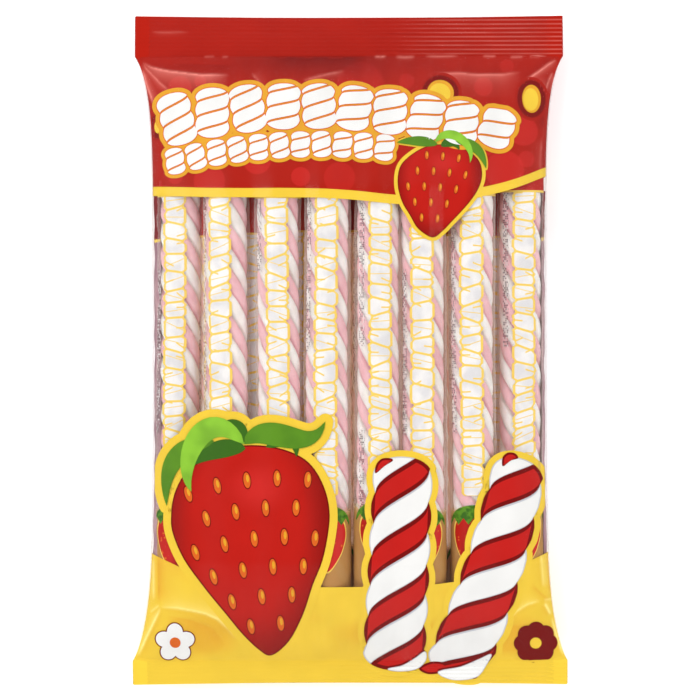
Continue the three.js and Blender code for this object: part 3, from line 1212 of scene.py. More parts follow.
class PACK_OT_back_seam(Step, bpy.types.Operator):
    """Adds the flat lengthwise seam of the back"""

    bl_idname = "marshmallow_pack.back_seam"
    bl_label = "Back Seam"

    def execute(self, context):
        seam, flat = new_sheet("back_seam", 32, 160)
        turn = flat[:, 0] * math.pi
        y = spread(flat[:, 1], BOTTOM_SEAL_LINE, TOP_SEAL_LINE)
        middle = SEAM_ASIDE + 0.4 * MM * np.sin(y / (37 * MM))
        x = middle + SEAM_HALF_WIDTH * squared_off(np.sin(turn), SEAM_SQUARENESS)
        z = back_height(x, y) - SEAM_DEPTH + SEAM_HALF_THICKNESS * squared_off(np.cos(turn), SEAM_SQUARENESS)
        move_to(seam, np.stack([x, y, z], axis=-1))
        in_edit_mode(seam, merge_doubles, fill_holes, face_outwards)
        finish_piece(seam, 50, seam_material())
        return {"FINISHED"}


class PACK_OT_fields(Step, bpy.types.Operator):
    """Adds the red top field, the yellow bottom field and the trim line"""

    bl_idname = "marshmallow_pack.fields"
    bl_label = "Printed Fields"

    def execute(self, context):
        rows, ways = film_rows(*FIELD_ROWS), film_ways(*FIELD_COLUMNS)
        top = rolled_sheet("top_field", rows[rows > TOP_LOWEST], ways, FIELD_DEPTH, lowest=TRIM_LINE)
        paint_fold_light(top)
        low_rows = rows[rows < BOTTOM_HIGHEST]
        bottom = rolled_sheet("bottom_field", low_rows, ways, FIELD_DEPTH, highest=BOTTOM_LINE)
        paint_fold_light(bottom)
        half_trim = context.scene.pack_print.trim_width / 2
        trim = rolled_sheet(
            "trim_line",
            rows[(rows > TRIM_LOWEST) & (rows < TRIM_HIGHEST)],
            film_ways(*TRIM_COLUMNS),
            FIELD_DEPTH - INK_STEP,
            lowest=lambda way: TRIM_LINE(way) - half_trim,
            highest=lambda way: TRIM_LINE(way) + half_trim,
        )
        finish_piece(top, 60, top_field_material())
        finish_piece(bottom, 60, bottom_field_material())
        finish_piece(trim, 60, ink_material("yellow_trim", "yellow"))
        return {"FINISHED"}


# ---- Printed motifs ----

PRINT_COLUMN = 1.3 * MM  # a motif is cut every so far across, and along the film's own rows
HAIR = 0.2 * INK_STEP  # between shapes of one layer that overlap
SIDE_ROOM = 1.2 * MM  # from a motif to the side of the pack


def flat_shape(outline, height):
    """A flat face with an outline given as (x, y) in mm."""
    deselect()
    bpy.ops.mesh.primitive_circle_add(vertices=len(outline), radius=1, fill_type="NGON")
    shape = bpy.context.object
    move_to(shape, [(x * MM, y * MM, height) for x, y in outline])
    return shape


def cut_into_cells():
    """Cuts the mesh that is being edited along a net, so that it can bend as the film does."""
    bpy.ops.mesh.quads_convert_to_tris()
    bpy.context.object.update_from_editmode()
    corners = places_of(bpy.context.object)
    low, high = corners.min(axis=0), corners.max(axis=0)
    first, last = math.ceil(low[0] / PRINT_COLUMN), math.floor(high[0] / PRINT_COLUMN)
    for column in range(first, last + 1):
        bpy.ops.mesh.select_all(action="SELECT")
        bpy.ops.mesh.bisect(plane_co=(column * PRINT_COLUMN, 0, 0), plane_no=(1, 0, 0))
    rows = film_rows(PRINT_ROW, PRINT_ROW)
    for row in rows[(rows > low[1]) & (rows < high[1])]:
        bpy.ops.mesh.select_all(action="SELECT")
        bpy.ops.mesh.bisect(plane_co=(0, row, 0), plane_no=(0, 1, 0))


def lay_on_front(places, layer):
    """Flat places laid just under the film's front, in one of the layers of ink."""
    x, y = places[:, 0].copy(), places[:, 1]
    limit = half_width(y) - SIDE_ROOM
    x = np.clip(x, -limit, limit)
    small = 0.2 * MM
    slope_x = (front_height(x + small, y) - front_height(x - small, y)) / (2 * small)
    slope_y = (front_height(x, y + small) - front_height(x, y - small)) / (2 * small)
    depth = layer * INK_STEP * np.sqrt(1 + slope_x**2 + slope_y**2)
    return np.stack([x, y, front_height(x, y) - depth], axis=-1)


def motif(name, outlines, layer, material):
    """One printed layer of a motif. Neighbours that overlap lie a hair apart."""
    shapes = [flat_shape(outline, number % 4 * HAIR) for number, outline in enumerate(outlines)]
    sheet = join(shapes, name)
    in_edit_mode(sheet, cut_into_cells)
    hair = places_of(sheet)[:, 2]
    places = lay_on_front(places_of(sheet), layer)
    places[:, 2] -= hair
    move_to(sheet, places)
    in_edit_mode(sheet, face_outwards)
    point_up(sheet)
    finish_piece(sheet, 60, material)


def print_plain(name, outlines, layer, colour_name):
    """One printed layer of a motif, in plain ink."""
    motif(name, outlines, layer, ink_material(name + "_ink", colour_name))


def point_up(sheet):
    """Turns over any face of a printed sheet that points down."""
    mesh = sheet.data
    for face in mesh.polygons:
        if face.normal.z < 0:
            face.flip()
    mesh.update()


def placed(x, y, centre, turn):
    """A place turned by degrees and moved."""
    c, s = math.cos(math.radians(turn)), math.sin(math.radians(turn))
    return centre[0] + x * c - y * s, centre[1] + x * s + y * c


CORNER_STEP = 0.4  # radians from one place of a rounded corner to the next


def grown(outline, distance):
    """An anticlockwise outline moved outwards, with its sharp corners rounded."""
    result = []
    count = len(outline)
    for i in range(count):
        before, here, after = (np.array(outline[(i + d) % count]) for d in (-1, 0, 1))
        headings = [math.atan2(*(b - a)[::-1]) - math.pi / 2 for a, b in ((before, here), (here, after))]
        turn = (headings[1] - headings[0] + math.pi) % (2 * math.pi) - math.pi
        steps = max(1, round(turn / CORNER_STEP)) if distance > 0 else 1
        shares = [j / steps for j in range(steps + 1)] if steps > 1 else [0.5]
        for share in shares:
            heading = headings[0] + turn * share
            result.append((here[0] + distance * math.cos(heading), here[1] + distance * math.sin(heading)))
    return result


def clipped(outline, window):
    """The part of an outline inside a convex, anticlockwise one."""
    for i, a in enumerate(window):
        b = window[(i + 1) % len(window)]

        def inside(p):
            return (b[0] - a[0]) * (p[1] - a[1]) - (b[1] - a[1]) * (p[0] - a[0])

        kept = []
        for j, here in enumerate(outline):
            before = outline[j - 1]
            side, side_before = inside(here), inside(before)
            if side * side_before < 0:
                share = side_before / (side_before - side)
                kept.append(tuple(np.add(before, share * np.subtract(here, before))))
            if side >= 0:
                kept.append(here)
        outline = kept
        if not outline:
            return []
    return outline


def ellipse_outline(centre, width, height, turn=0, count=40):
    """An ellipse, turned anticlockwise by an angle in degrees."""
    outline = []
    for i in range(count):
        t = 2 * math.pi * i / count
        outline.append(placed(width / 2 * math.cos(t), height / 2 * math.sin(t), centre, turn))
    return outline


def closed_curve(places, steps=4):
    """An outline through a ring of places, rounded between them."""
    ring = np.array(places, float)
    outline = []
    for i, here in enumerate(ring):
        before, after, beyond = ring[i - 1], ring[(i + 1) % len(ring)], ring[(i + 2) % len(ring)]
        for step in range(steps):
            t = step / steps
            curve = 2 * here + (after - before) * t + (2 * before - 5 * here + 4 * after - beyond) * t**2
            curve = curve + (3 * here - before - 3 * after + beyond) * t**3
            outline.append(tuple(curve / 2))
    return outline


def leaf_outline(spine, breadth):
    """A leaf along a spine through three places or more, pointed at both ends."""
    places = np.array(spine, float)
    steps = np.hypot(*np.diff(places, axis=0).T)
    marks = np.concatenate([[0], np.cumsum(steps)]) / steps.sum()
    curve = np.polyfit(marks, places, min(len(places) - 1, 3)).T
    left, right = [], []
    for t in np.linspace(0, 1, 21):
        middle = np.array([np.polyval(column, t) for column in curve])
        way = np.array([np.polyval(np.polyder(column), t) for column in curve])
        aside = np.array([-way[1], way[0]]) / np.hypot(*way)
        reach = breadth / 2 * max(math.sin(math.pi * t**0.75), 0) ** 0.8
        left.append(tuple(middle + aside * reach))
        right.append(tuple(middle - aside * reach))
    return right[:-1] + left[:0:-1]


def petal_outlines(centre, radius, count):
    """Round petals about a centre."""
    outlines = []
    for i in range(count):
        angle = 360 * i / count
        middle = placed(0, radius * 0.56, centre, angle)
        outlines.append(ellipse_outline(middle, radius * 0.82, radius * 0.92, angle, 24))
    return outlines


END_ROUNDING = 0.3  # depth of a drawn twist's rounded end, as a share of its width


class Rope:
    """A drawn twist, seen from the side: its outline and its strands, as outlines in mm."""

    def __init__(self, foot, run, width, turn, pitch, rise, top_width=None, bow=0.0, window=None):
        self.foot, self.run, self.turn, self.bow = foot, run, turn, bow
        self.width, self.top_width = width, top_width or width
        self.pitch, self.rise, self.window = pitch, rise, window

    def place(self, x, up):
        """Where a place beside the middle line lies, on a line that bows to the right."""
        share = up / self.run
        return placed(x + 4 * self.bow * share * (1 - share), up, self.foot, self.turn)

    def half(self, up):
        """Half the width at a height."""
        return (self.width + (self.top_width - self.width) * up / self.run) / 2

    def own_outline(self, roundness=2.2):
        """The outline of the whole rope before it is placed: straight sides and rounded ends."""
        sides, rows = [], 40
        for i in range(rows + 1):
            turn = math.pi * (i / rows - 0.5)
            end = self.run / 2 - END_ROUNDING * self.width
            rise = math.copysign(abs(math.sin(turn)) ** (2 / roundness), turn)
            up = self.run / 2 + rise * END_ROUNDING * self.width + (end if i > rows / 2 else -end)
            sides.append((self.half(up) * max(math.cos(turn), 0) ** (2 / roundness), up))
        return sides + [(-x, up) for x, up in sides[-2:0:-1]]

    def outline(self, roundness):
        """The outline of the whole rope."""
        return [self.place(x, up) for x, up in self.own_outline(roundness)]

    def strand(self, start, thickness, bulge):
        """One strand: it leaves the left side steeply, crosses over, and steepens again at the right."""
        count = 16

        def edge(quarter, lift):
            up = start + self.rise * (quarter / 2 + 0.5) + lift
            return math.sin(quarter * math.pi / 2) * self.half(up), up

        def end(side, low, high):
            reach = abs(low[0])
            return [
                (side * (reach + bulge * math.sin(math.pi * t)), low[1] + (high[1] - low[1]) * t)
                for t in (0.12, 0.3, 0.5, 0.7, 0.88)
            ]

        lower = [edge(-1 + 2 * i / count, 0) for i in range(count + 1)]
        upper = [edge(1 - 2 * i / count, thickness) for i in range(count + 1)]
        places = lower + end(1, lower[-1], upper[0]) + upper + end(-1, lower[0], upper[-1])[::-1]
        kept = clipped(places, grown(self.own_outline(), bulge))
        result = [self.place(x, up) for x, up in kept]
        return clipped(result, grown(self.window, bulge)) if self.window and result else result

    def strands(self, offset, thickness, bulge):
        """All strands of one colour."""
        first = math.floor((-self.rise - self.pitch) / self.pitch)
        last = math.ceil(self.run / self.pitch)
        outlines = [self.strand(self.pitch * i + offset, thickness, bulge) for i in range(first, last + 1)]
        return [outline for outline in outlines if area(outline) > 5]


def area(outline):
    """Area inside an outline."""
    if len(outline) < 3:
        return 0
    x, y = np.array(outline).T
    return abs(np.dot(x, np.roll(y, 1)) - np.dot(y, np.roll(x, 1))) / 2


# Pieces of the upper row of white shapes: how far each leans, in degrees, its height, and its lift, in mm.
UPPER_ROW = (
    (3, 20.9, 0), (-7, 19.8, 0), (6, 19.0, 0), (-4, 18.3, 0), (5, 18.0, 0),
    (-6, 17.8, 0), (4, 17.9, 0), (-5, 18.1, 0), (7, 17.2, 1.1), (-5, 15.6, 3.2),
)
ARCH = 0.0019  # bend of both rows, per mm


def arched(x, middle, fall):
    """Y in mm and slope in degrees of an arched row that falls to the right, at an X in mm."""
    y = middle - fall * x - ARCH * x * x
    return y, math.degrees(math.atan(-fall - 2 * ARCH * x))


class PACK_OT_white_shapes(Step, bpy.types.Operator):
    """Prints two arched rows of white pieces of twist on the top field"""

    bl_idname = "marshmallow_pack.white_shapes"
    bl_label = "White Shapes"

    def execute(self, context):
        shapes = amber, orange, white = [], [], []
        for number, (lean, height, lift) in enumerate(UPPER_ROW):
            x = -71.5 + 14.75 * number
            y, slope = arched(x, 100.5, 0.075)
            foot = placed(0, -height / 2, (x, y + lift), slope + lean)
            rope = Rope(foot, height, 12.6, slope + lean, pitch=6.3, rise=4.6)
            self.add_piece(shapes, rope, rim=2.0, line=0.36, gap=1.0, bulge=0.75)
        for number in range(11):
            x = -72.1 + 8.67 * number
            y, slope = arched(x, 84.6, 0.051)
            slope += 4 if number % 2 else -4
            rope = Rope(placed(0, -5, (x, y), slope), 10, 7.0, slope, pitch=5, rise=2.6)
            self.add_piece(shapes, rope, rim=1.6, line=0.28, gap=0.8, bulge=0.5)
        print_plain("white_shapes_rim", amber, 4, "amber")
        print_plain("white_shapes_line", orange, 3, "orange")
        print_plain("white_shapes", white, 2, "white")
        return {"FINISHED"}

    def add_piece(self, shapes, rope, rim, line, gap, bulge):
        """Adds the outlines of one piece: its rim, its thin line and its strands."""
        amber, orange, white = shapes
        amber.append(grown(rope.outline(3), rim))
        for strand in rope.strands(0.35 * rope.pitch, rope.pitch - gap, bulge):
            amber.append(grown(strand, rim))
            orange.append(grown(strand, line))
            white.append(strand)


def rim_material(name, dots):
    """Dark red ink round each dot, given by centre, width and height, that fades into the field."""
    inks = bpy.context.scene.pack_print
    recipe = Recipe(name)
    dark = 0.0
    for centre, width, height in dots:
        near = recipe.rise(recipe.reach(centre, width + 4.4, height + 4.4), 1.04, 0.92)
        far = recipe.rise(recipe.reach(centre, width + 7, height + 7), 1.0, 0.6)
        dark = recipe.most(dark, near, far * 0.7)
    return finish_ink(recipe, recipe.blend(dark * 0.9, inks.red, inks.dark_red))


class PACK_OT_dots(Step, bpy.types.Operator):
    """Prints yellow dots with soft dark rims on the top field"""

    bl_idname = "marshmallow_pack.dots"
    bl_label = "Yellow Dots"

    def execute(self, context):
        dots = (((38, 106.8), 11.2, 11.2), ((76, 104.5), 7.9, 12), ((-79.4, 93.2), 3.4, 6))
        rims, middles, lights = [], [], []
        for (x, y), width, height in dots:
            rims.append(ellipse_outline((x, y), width + 6.8, height + 6.8))
            middles.append(ellipse_outline((x, y), width, height))
            lights.append(ellipse_outline((x - 0.3, y - 0.3), width * 0.8, height * 0.8, 0, 32))
        motif("dot_rims", rims, 7.2, rim_material("dark_rim", dots))
        print_plain("dots", middles, 6.3, "amber")
        print_plain("dot_lights", lights, 5.4, "yellow")
        return {"FINISHED"}


def berry_material(name, centre, width, height):
    """Red ink that is lightest up on the right of a berry and dark round its edge."""
    inks = bpy.context.scene.pack_print
    recipe = Recipe(name)
    middle = (centre[0] - 0.02 * width, centre[1] + 0.12 * height)
    dark = recipe.rise(recipe.reach(middle, width, 1.25 * height), 0.62, 1.08)
    lit = (centre[0] + 0.05 * width, centre[1] + 0.3 * height)
    light = recipe.rise(recipe.reach(lit, 0.5 * width, 0.3 * height), 1, 0.1)
    shade = recipe.blend(dark * 0.75, inks.fruit, inks.dark_red)
    shade = recipe.blend(light * 0.8, shade, inks.light_red)
    return finish_ink(recipe, shade)


def leaf_material(name, colour_name):
    """Green ink, a little mottled."""
    inks = bpy.context.scene.pack_print
    recipe = Recipe(name)
    mottle = recipe.rise(recipe.noise(9 * MM, detail=1), 0.3, 0.7) * 0.35
    return finish_ink(recipe, recipe.blend(mottle, getattr(inks, colour_name), inks.dark_green))


def within(outline, place, margin):
    """Whether a place lies inside an outline, at least a margin from its corners."""
    inside = False
    for i, (x, y) in enumerate(outline):
        before_x, before_y = outline[i - 1]
        if (y > place[1]) != (before_y > place[1]):
            inside ^= place[0] < (before_x - x) * (place[1] - y) / (before_y - y) + x
    return inside and min(math.dist(place, corner) for corner in outline) > margin


def seed_seats(body, width, turn):
    """Places of the seeds on a berry, in staggered rows: (place, lean) for each."""
    middle = np.mean(body, axis=0)
    seats = []
    for row in range(-5, 6):
        for column in range(-5, 6):
            aside = (column + (0.5 if row % 2 else 0)) * 0.19 * width
            up = row * 0.185 * width - 0.0045 * aside * aside
            seat = placed(aside, up, middle, turn)
            if within(body, seat, 0.055 * width):
                seats.append((seat, turn - 0.9 * aside * 30 / width))
    return seats


def print_berry(name, body, leaves, turn, halo, leaf_halo):
    """Prints one plain berry with its seeds and its crown of leaves, in a yellow halo."""
    low, high = np.min(body, axis=0), np.max(body, axis=0)
    width, height = high - low
    body = closed_curve(body)
    seed = width / 24
    hollows, seeds, glints = [], [], []
    for seat, lean in seed_seats(body, width, turn):
        hollows.append(ellipse_outline(seat, seed * 1.3, seed * 2.75, lean, 20))
        seeds.append(ellipse_outline(seat, seed * 1.05, seed * 2.4, lean, 18))
        glint = placed(seed * 0.12, seed * 0.25, seat, lean)
        glints.append(ellipse_outline(glint, seed * 0.45, seed * 1.2, lean, 12))
    haloes = [grown(body, halo)]
    haloes += [grown(leaf_outline(spine, breadth), leaf_halo) for spine, breadth, _ in leaves]
    print_plain(name + "_halo", haloes, 6.6, "yellow")
    print_plain(name + "_edge", [body], 5.4, "dark_red")
    flesh = berry_material(name + "_red", (low + high) / 2, width, height)
    motif(name + "_flesh", [grown(body, -0.009 * width)], 4.6, flesh)
    print_plain(name + "_hollows", hollows, 3.8, "dark_red")
    print_plain(name + "_seeds", seeds, 3.1, "orange")
    print_plain(name + "_glints", glints, 2.4, "amber")
    for number, (spine, breadth, green) in enumerate(leaves):
        leaf = f"{name}_leaf_{number + 1}"
        layer = 2.4 - 1.9 * number / len(leaves)
        motif(leaf, [leaf_outline(spine, breadth)], layer, leaf_material(leaf, green))


# Outlines of both berries, anticlockwise from the tip, and the spines and breadths of their leaves, in mm.
LARGE_BERRY = (
    (-32.8, -127.6), (-25.5, -121.3), (-19.4, -109.4), (-15.4, -97.1), (-11.3, -86.6), (-8.8, -74.4),
    (-8.4, -66), (-10.1, -57.8), (-14.2, -49.5), (-20.4, -43.8), (-30.7, -40), (-43.1, -39.2),
    (-51.4, -41.3), (-61.6, -45.5), (-68.7, -51.6), (-72.8, -59.8), (-74.1, -68), (-73.5, -75.5),
    (-69, -86), (-61.3, -97), (-52.5, -108.2), (-44.5, -118.5), (-38.2, -125),
)
LARGE_LEAVES = (
    (((-44, -38.5), (-47, -32.5), (-55.5, -32.5)), 7.5, "dark_green"),
    (((-43, -40.6), (-54, -41), (-65, -47.5)), 7.5, "dark_green"),
    (((-34.5, -40), (-23, -38.5), (-22, -44)), 5.5, "dark_green"),
    (((-56, -37.5), (-70.5, -43), (-76, -64.5)), 8, "green"),
    (((-43.5, -38.8), (-31.5, -34.6), (-18.5, -36.6), (-10, -29.4)), 9.6, "green"),
    (((-43.5, -38.8), (-60, -33.5), (-66.5, -44), (-65.5, -58.5)), 9.2, "light_green"),
)
SMALL_BERRY = (
    (34.2, 46.3), (38.5, 49), (41.8, 52.4), (45.8, 56.6), (50, 61.4), (53.3, 66.4), (54.9, 72), (53.8, 77.8),
    (49.5, 82), (43.5, 84.4), (38.5, 84.9), (31.5, 83.8), (24.5, 79.6), (20.8, 75), (20, 68), (21.8, 61),
    (25, 55.5), (28.3, 50),
)
SMALL_LEAVES = (
    (((38, 84), (43, 85.6), (45.5, 82.5)), 4, "dark_green"),
    (((36.5, 84.8), (28.5, 86.2), (19.6, 85.6)), 4.2, "green"),
    (((44, 86.2), (51.5, 84), (56.6, 74.8)), 4.2, "green"),
    (((35.5, 85.6), (42, 89), (48.8, 84.5), (49.8, 77.2)), 3.8, "light_green"),
)


class PACK_OT_fruit(Step, bpy.types.Operator):
    """Prints a large berry low on the pack and a small one on the edge of the top field"""

    bl_idname = "marshmallow_pack.fruit"
    bl_label = "Fruit"

    def execute(self, context):
        print_berry("small_berry", SMALL_BERRY, SMALL_LEAVES, turn=-5, halo=1.5, leaf_halo=0.6)
        print_berry("large_berry", LARGE_BERRY, LARGE_LEAVES, turn=7, halo=3.3, leaf_halo=3.3)
        return {"FINISHED"}


def print_rope(name, rope, offset, thickness):
    """Prints one red and white twist in a yellow halo. Its red strands are so thick along it."""
    gap = rope.pitch - thickness
    haloes = [grown(strand, 2.6) for strand in rope.strands(offset, thickness, 1.5)]
    haloes += [grown(strand, 2.6) for strand in rope.strands(offset + thickness, gap, 1.5)]
    print_plain(name + "_halo", haloes, 6.6, "yellow")
    print_plain(name + "_shade", rope.strands(offset + thickness - 0.6, gap + 1.2, 1.5), 5.4, "pale_grey")
    print_plain(name + "_white", rope.strands(offset + thickness + 0.3, gap - 1.2, 1.0), 4.4, "white")
    print_plain(name + "_outlines", rope.strands(offset, thickness, 1.5), 3.2, "dark_red")
    print_plain(name + "_stripes", rope.strands(offset + 2.1, thickness - 4.2, 0.0), 2.2, "bright_red")


def print_red_end(name, corners, layer):
    """Prints the round red end of a strand, with a dark edge."""
    whole = closed_curve(corners[::-1], 6)
    print_plain(name + "_edge", [whole], layer, "dark_red")
    print_plain(name, [grown(whole, -0.9)], layer - 0.9, "bright_red")


def print_white_foot(name, corners):
    """Prints the white foot of a twist, under the dark edge of the red strand above it."""
    foot = closed_curve(corners[::-1], 6)
    above = [(x - 0.4, y + 1.0) for x, y in foot]
    print_plain(name + "_edge", [above], 1.9, "dark_red")
    print_plain(name + "_line", [grown(foot, 0.3)], 1.4, "pale_grey")
    print_plain(name, [foot], 0.9, "white")


# The loose ends of both drawn twists: names, layers of the red ones, and corners in mm, clockwise.
RED_ENDS = (
    ("upright_end", 3.9, (10.6, -50.8), (10.9, -47.2), (13.2, -44.8),
     (16.4, -44.6), (17.8, -45.6), (14.4, -47.8)),
    ("leaning_end", 3.9, (63.3, -48.2), (63.2, -44.6), (65.4, -42.6),
     (68.4, -42.9), (69.7, -44.9), (66.6, -45.9)),
    ("leaning_toe", 3.1, (28.9, -133.8), (30.6, -131.8), (35, -130.4),
     (40, -131.4), (39, -134.7), (33, -135.8)),
)
WHITE_FEET = (
    ("upright_foot", (16, -133.6), (22, -132.2), (27.4, -129), (31.2, -126.2),
     (31.4, -130), (27.6, -133.4), (21, -134.3)),
    ("leaning_foot", (37, -134.9), (46.4, -132.8), (54, -129.6), (58.8, -127.4),
     (57, -131.6), (52.6, -137), (43, -138)),
)


class PACK_OT_drawn_twists(Step, bpy.types.Operator):
    """Prints two striped twists on the bottom field"""

    bl_idname = "marshmallow_pack.drawn_twists"
    bl_label = "Drawn Twists"

    def execute(self, context):
        upright = Rope((18.1, -132.6), 87.2, 23.4, -2.64, pitch=25.7, rise=22.6, top_width=21.6)
        print_rope("upright_twist", upright, offset=9.2, thickness=13)
        window = ((0, -137.6), (51, -137.6), (60.8, -124.6), (90, -84), (90, -30), (0, -30))
        leaning = Rope(
            (43.4, -135.4), 93, 24.2, -17.2, pitch=27.6, rise=21.6, top_width=19.8, bow=2, window=window
        )
        print_rope("leaning_twist", leaning, offset=9.6, thickness=14)
        for name, layer, *corners in RED_ENDS:
            print_red_end(name, corners, layer)
        for name, *corners in WHITE_FEET:
            print_white_foot(name, corners)
        return {"FINISHED"}


class PACK_OT_badges(Step, bpy.types.Operator):
    """Prints a small dark red rosette and a white blossom low on the pack"""

    bl_idname = "marshmallow_pack.badges"
    bl_label = "Rosette and Blossom"

    def execute(self, context):
        for name, centre, radius, count, petal_colour, heart_colour in (
            ("rosette", (77.5, -122.5), 8.6, 8, "dark_red", "yellow"),
            ("blossom", (-73, -122), 8.2, 5, "white", "orange"),
        ):
            petals = petal_outlines(centre, radius, count)
            print_plain(name + "_rim", [grown(petal, 0.45) for petal in petals], 5, "dark_red")
            print_plain(name, petals, 4, petal_colour)
            heart = [ellipse_outline(centre, radius * 0.56, radius * 0.56, 0, 24)]
            print_plain(name + "_heart", heart, 3, heart_colour)
        return {"FINISHED"}


# ---- Twists ----

CAP_INSET = 1.3 * MM
CAP_SWELL = 0.9 * MM
MAP_LENGTH = 100 * MM  # along a strand, of one unit of its map
SHOWN_TWIST = (66, 120, 0.03)  # sides of the mesh, cuts along it, and strength of its painted glow
HIDDEN_TWIST = (36, 72, 0.16)


def twist_model(name, sides, rings, painted_glow):
    """One round twist about Y, from end to end, with grooved strands in two colours."""
    sizes = bpy.context.scene.pack_twists
    run = TWIST_HIGH_END - TWIST_LOW_END
    deselect()
    bpy.ops.mesh.primitive_cylinder_add(vertices=sides, radius=sizes.width / 2, depth=run)
    twist = bpy.context.object
    twist.name = name
    places = places_of(twist)
    lengthwise = [abs(np.subtract(*places[list(edge.vertices)])[2]) > run / 2 for edge in twist.data.edges]
    edit_chosen(twist, "EDGE", lengthwise, lambda: bpy.ops.mesh.subdivide(number_cuts=rings))

    per_strand = sides // STRANDS
    groove = sizes.groove / (sizes.width / 2)
    places = places_of(twist)
    corner = np.round(np.arctan2(places[:, 1], places[:, 0]) / (2 * math.pi) * sides) % per_strand
    from_groove = np.minimum(corner, per_strand - corner)
    for step in range((per_strand + 1) // 2):
        scale = 1 - groove * (1 - math.sin(math.pi * step / per_strand)) ** 1.5
        squeeze = functools.partial(bpy.ops.transform.resize, value=(scale, scale, 1))
        edit_chosen(twist, "VERT", from_groove == step, squeeze)
    for end in (-1, 1):
        cap = [face.normal.z * end > 0.9 for face in twist.data.polygons]
        edit_chosen(twist, "FACE", cap, lambda: bpy.ops.mesh.inset(thickness=CAP_INSET, depth=CAP_SWELL))

    # The second colour of each is the deeper tone, which is also the painted shade beside the grooves.
    set_material(
        twist,
        marshmallow_material(name + "_pink", sizes.pink, srgb(216, 146, 160), painted_glow),
        marshmallow_material(name + "_cream", sizes.cream, srgb(208, 198, 192), painted_glow),
    )
    colour_strands(twist)
    turns = twist.modifiers.new("turns", "SIMPLE_DEFORM")
    turns.deform_method = "TWIST"
    turns.deform_axis = "Z"
    turns.angle = -2 * math.pi * run / sizes.lead
    bpy.ops.object.modifier_apply(modifier=turns.name)
    quarter_turn = {"value": math.pi / 2, "orient_axis": "X", "center_override": (0, 0, 0)}
    in_edit_mode(twist, lambda: bpy.ops.transform.rotate(**quarter_turn))
    return twist


def edit_chosen(piece, kind, chosen, step):
    """Runs a step in edit mode with the chosen vertices, edges or faces selected."""
    select(piece)
    bpy.ops.object.mode_set(mode="EDIT")
    bpy.ops.mesh.select_mode(type=kind)
    bpy.ops.mesh.select_all(action="DESELECT")
    bpy.ops.object.mode_set(mode="OBJECT")
    mesh = piece.data
    parts = {"VERT": mesh.vertices, "EDGE": mesh.edges, "FACE": mesh.polygons}[kind]
    parts.foreach_set("select", np.array(chosen, dtype=bool))
    bpy.ops.object.mode_set(mode="EDIT")
    step()
    bpy.ops.mesh.select_mode(type="VERT")
    bpy.ops.object.mode_set(mode="OBJECT")


def colour_strands(twist):
    """Gives every second strand the second material, and maps each strand from groove to groove."""
    mesh = twist.data
    layer = mesh.uv_layers.new(name="strand")
    turns = np.arctan2(*places_of(twist)[:, [1, 0]].T) / (2 * math.pi) * STRANDS
    heights = places_of(twist)[:, 2]
    for face in mesh.polygons:
        turn = math.atan2(face.center.y, face.center.x) / (2 * math.pi) * STRANDS % STRANDS
        face.material_index = int(turn) % 2
        for loop in face.loop_indices:
            vertex = mesh.loops[loop].vertex_index
            share = turns[vertex] - int(turn)
            share -= STRANDS * round((share - 0.5) / STRANDS)
            on_end = abs(face.normal.z) > 0.5
            layer.data[loop].uv = (0.5, 0) if on_end else (share, heights[vertex] / MAP_LENGTH)


WRAPPER_FULLNESS = 1.8  # under 2, so a wrapper's sides are drawn out thin
FILM_ROOM = 0.75 * MM  # between a wrapper and the pack's film


def wrapper_rise(x, sizes):
    """Height of a wrapper's section at a place across it, above its middle."""
    return sizes.half_height * superellipse(x / sizes.half_width, WRAPPER_FULLNESS)


def front_row_centre(number, y):
    """Height of the middle of a front twist, which presses up against the pack's film."""
    sizes = bpy.context.scene.pack_wrappers
    stations = np.linspace(WRAPPER_LOW_END, WRAPPER_HIGH_END, 160)
    middle = FRONT_ROW[number] + sway(number, stations)
    offsets = np.linspace(-0.97, 0.97, 15) * sizes.half_width
    room = [front_height(middle + d, stations) - wrapper_rise(d, sizes) for d in offsets]
    return np.interp(y, stations, np.min(room, axis=0) - FILM_ROOM)


def sway(number, y):
    """How far a twist leaves the straight line, by its number."""
    phase = 1.7 * number
    return 0.35 * MM * np.sin(y / (52 * MM) + phase) + 0.15 * MM * np.sin(y / (19 * MM) + 2.3 * phase)


def lay_front(number, y):
    """Centre line of a front twist and its wrapper."""
    return FRONT_ROW[number] + sway(number, y), front_row_centre(number, y)


def lay_middle(number, y):
    """Centre line of a twist of the middle layer."""
    x = MIDDLE_ROW[number] + sway(number + 10, y)
    droop = 5 * MM * (smooth_step(y, 72 * MM, 110 * MM) + smooth_step(-y, 84 * MM, 120 * MM))
    return x, np.full_like(y, MIDDLE_ROW_HEIGHT) - droop


def lay_back(number, y):
    """Centre line of a twist of the back layer."""
    x = BACK_ROW[number] + sway(number + 20, y)
    outer = number in (0, len(BACK_ROW) - 1)
    lift = 4 * MM * (smooth_step(y, 80 * MM, 112 * MM) + smooth_step(-y, 92 * MM, 122 * MM))
    return x, np.full_like(y, BACK_ROW_HEIGHT + BACK_ROW_LIFT * outer) + lift


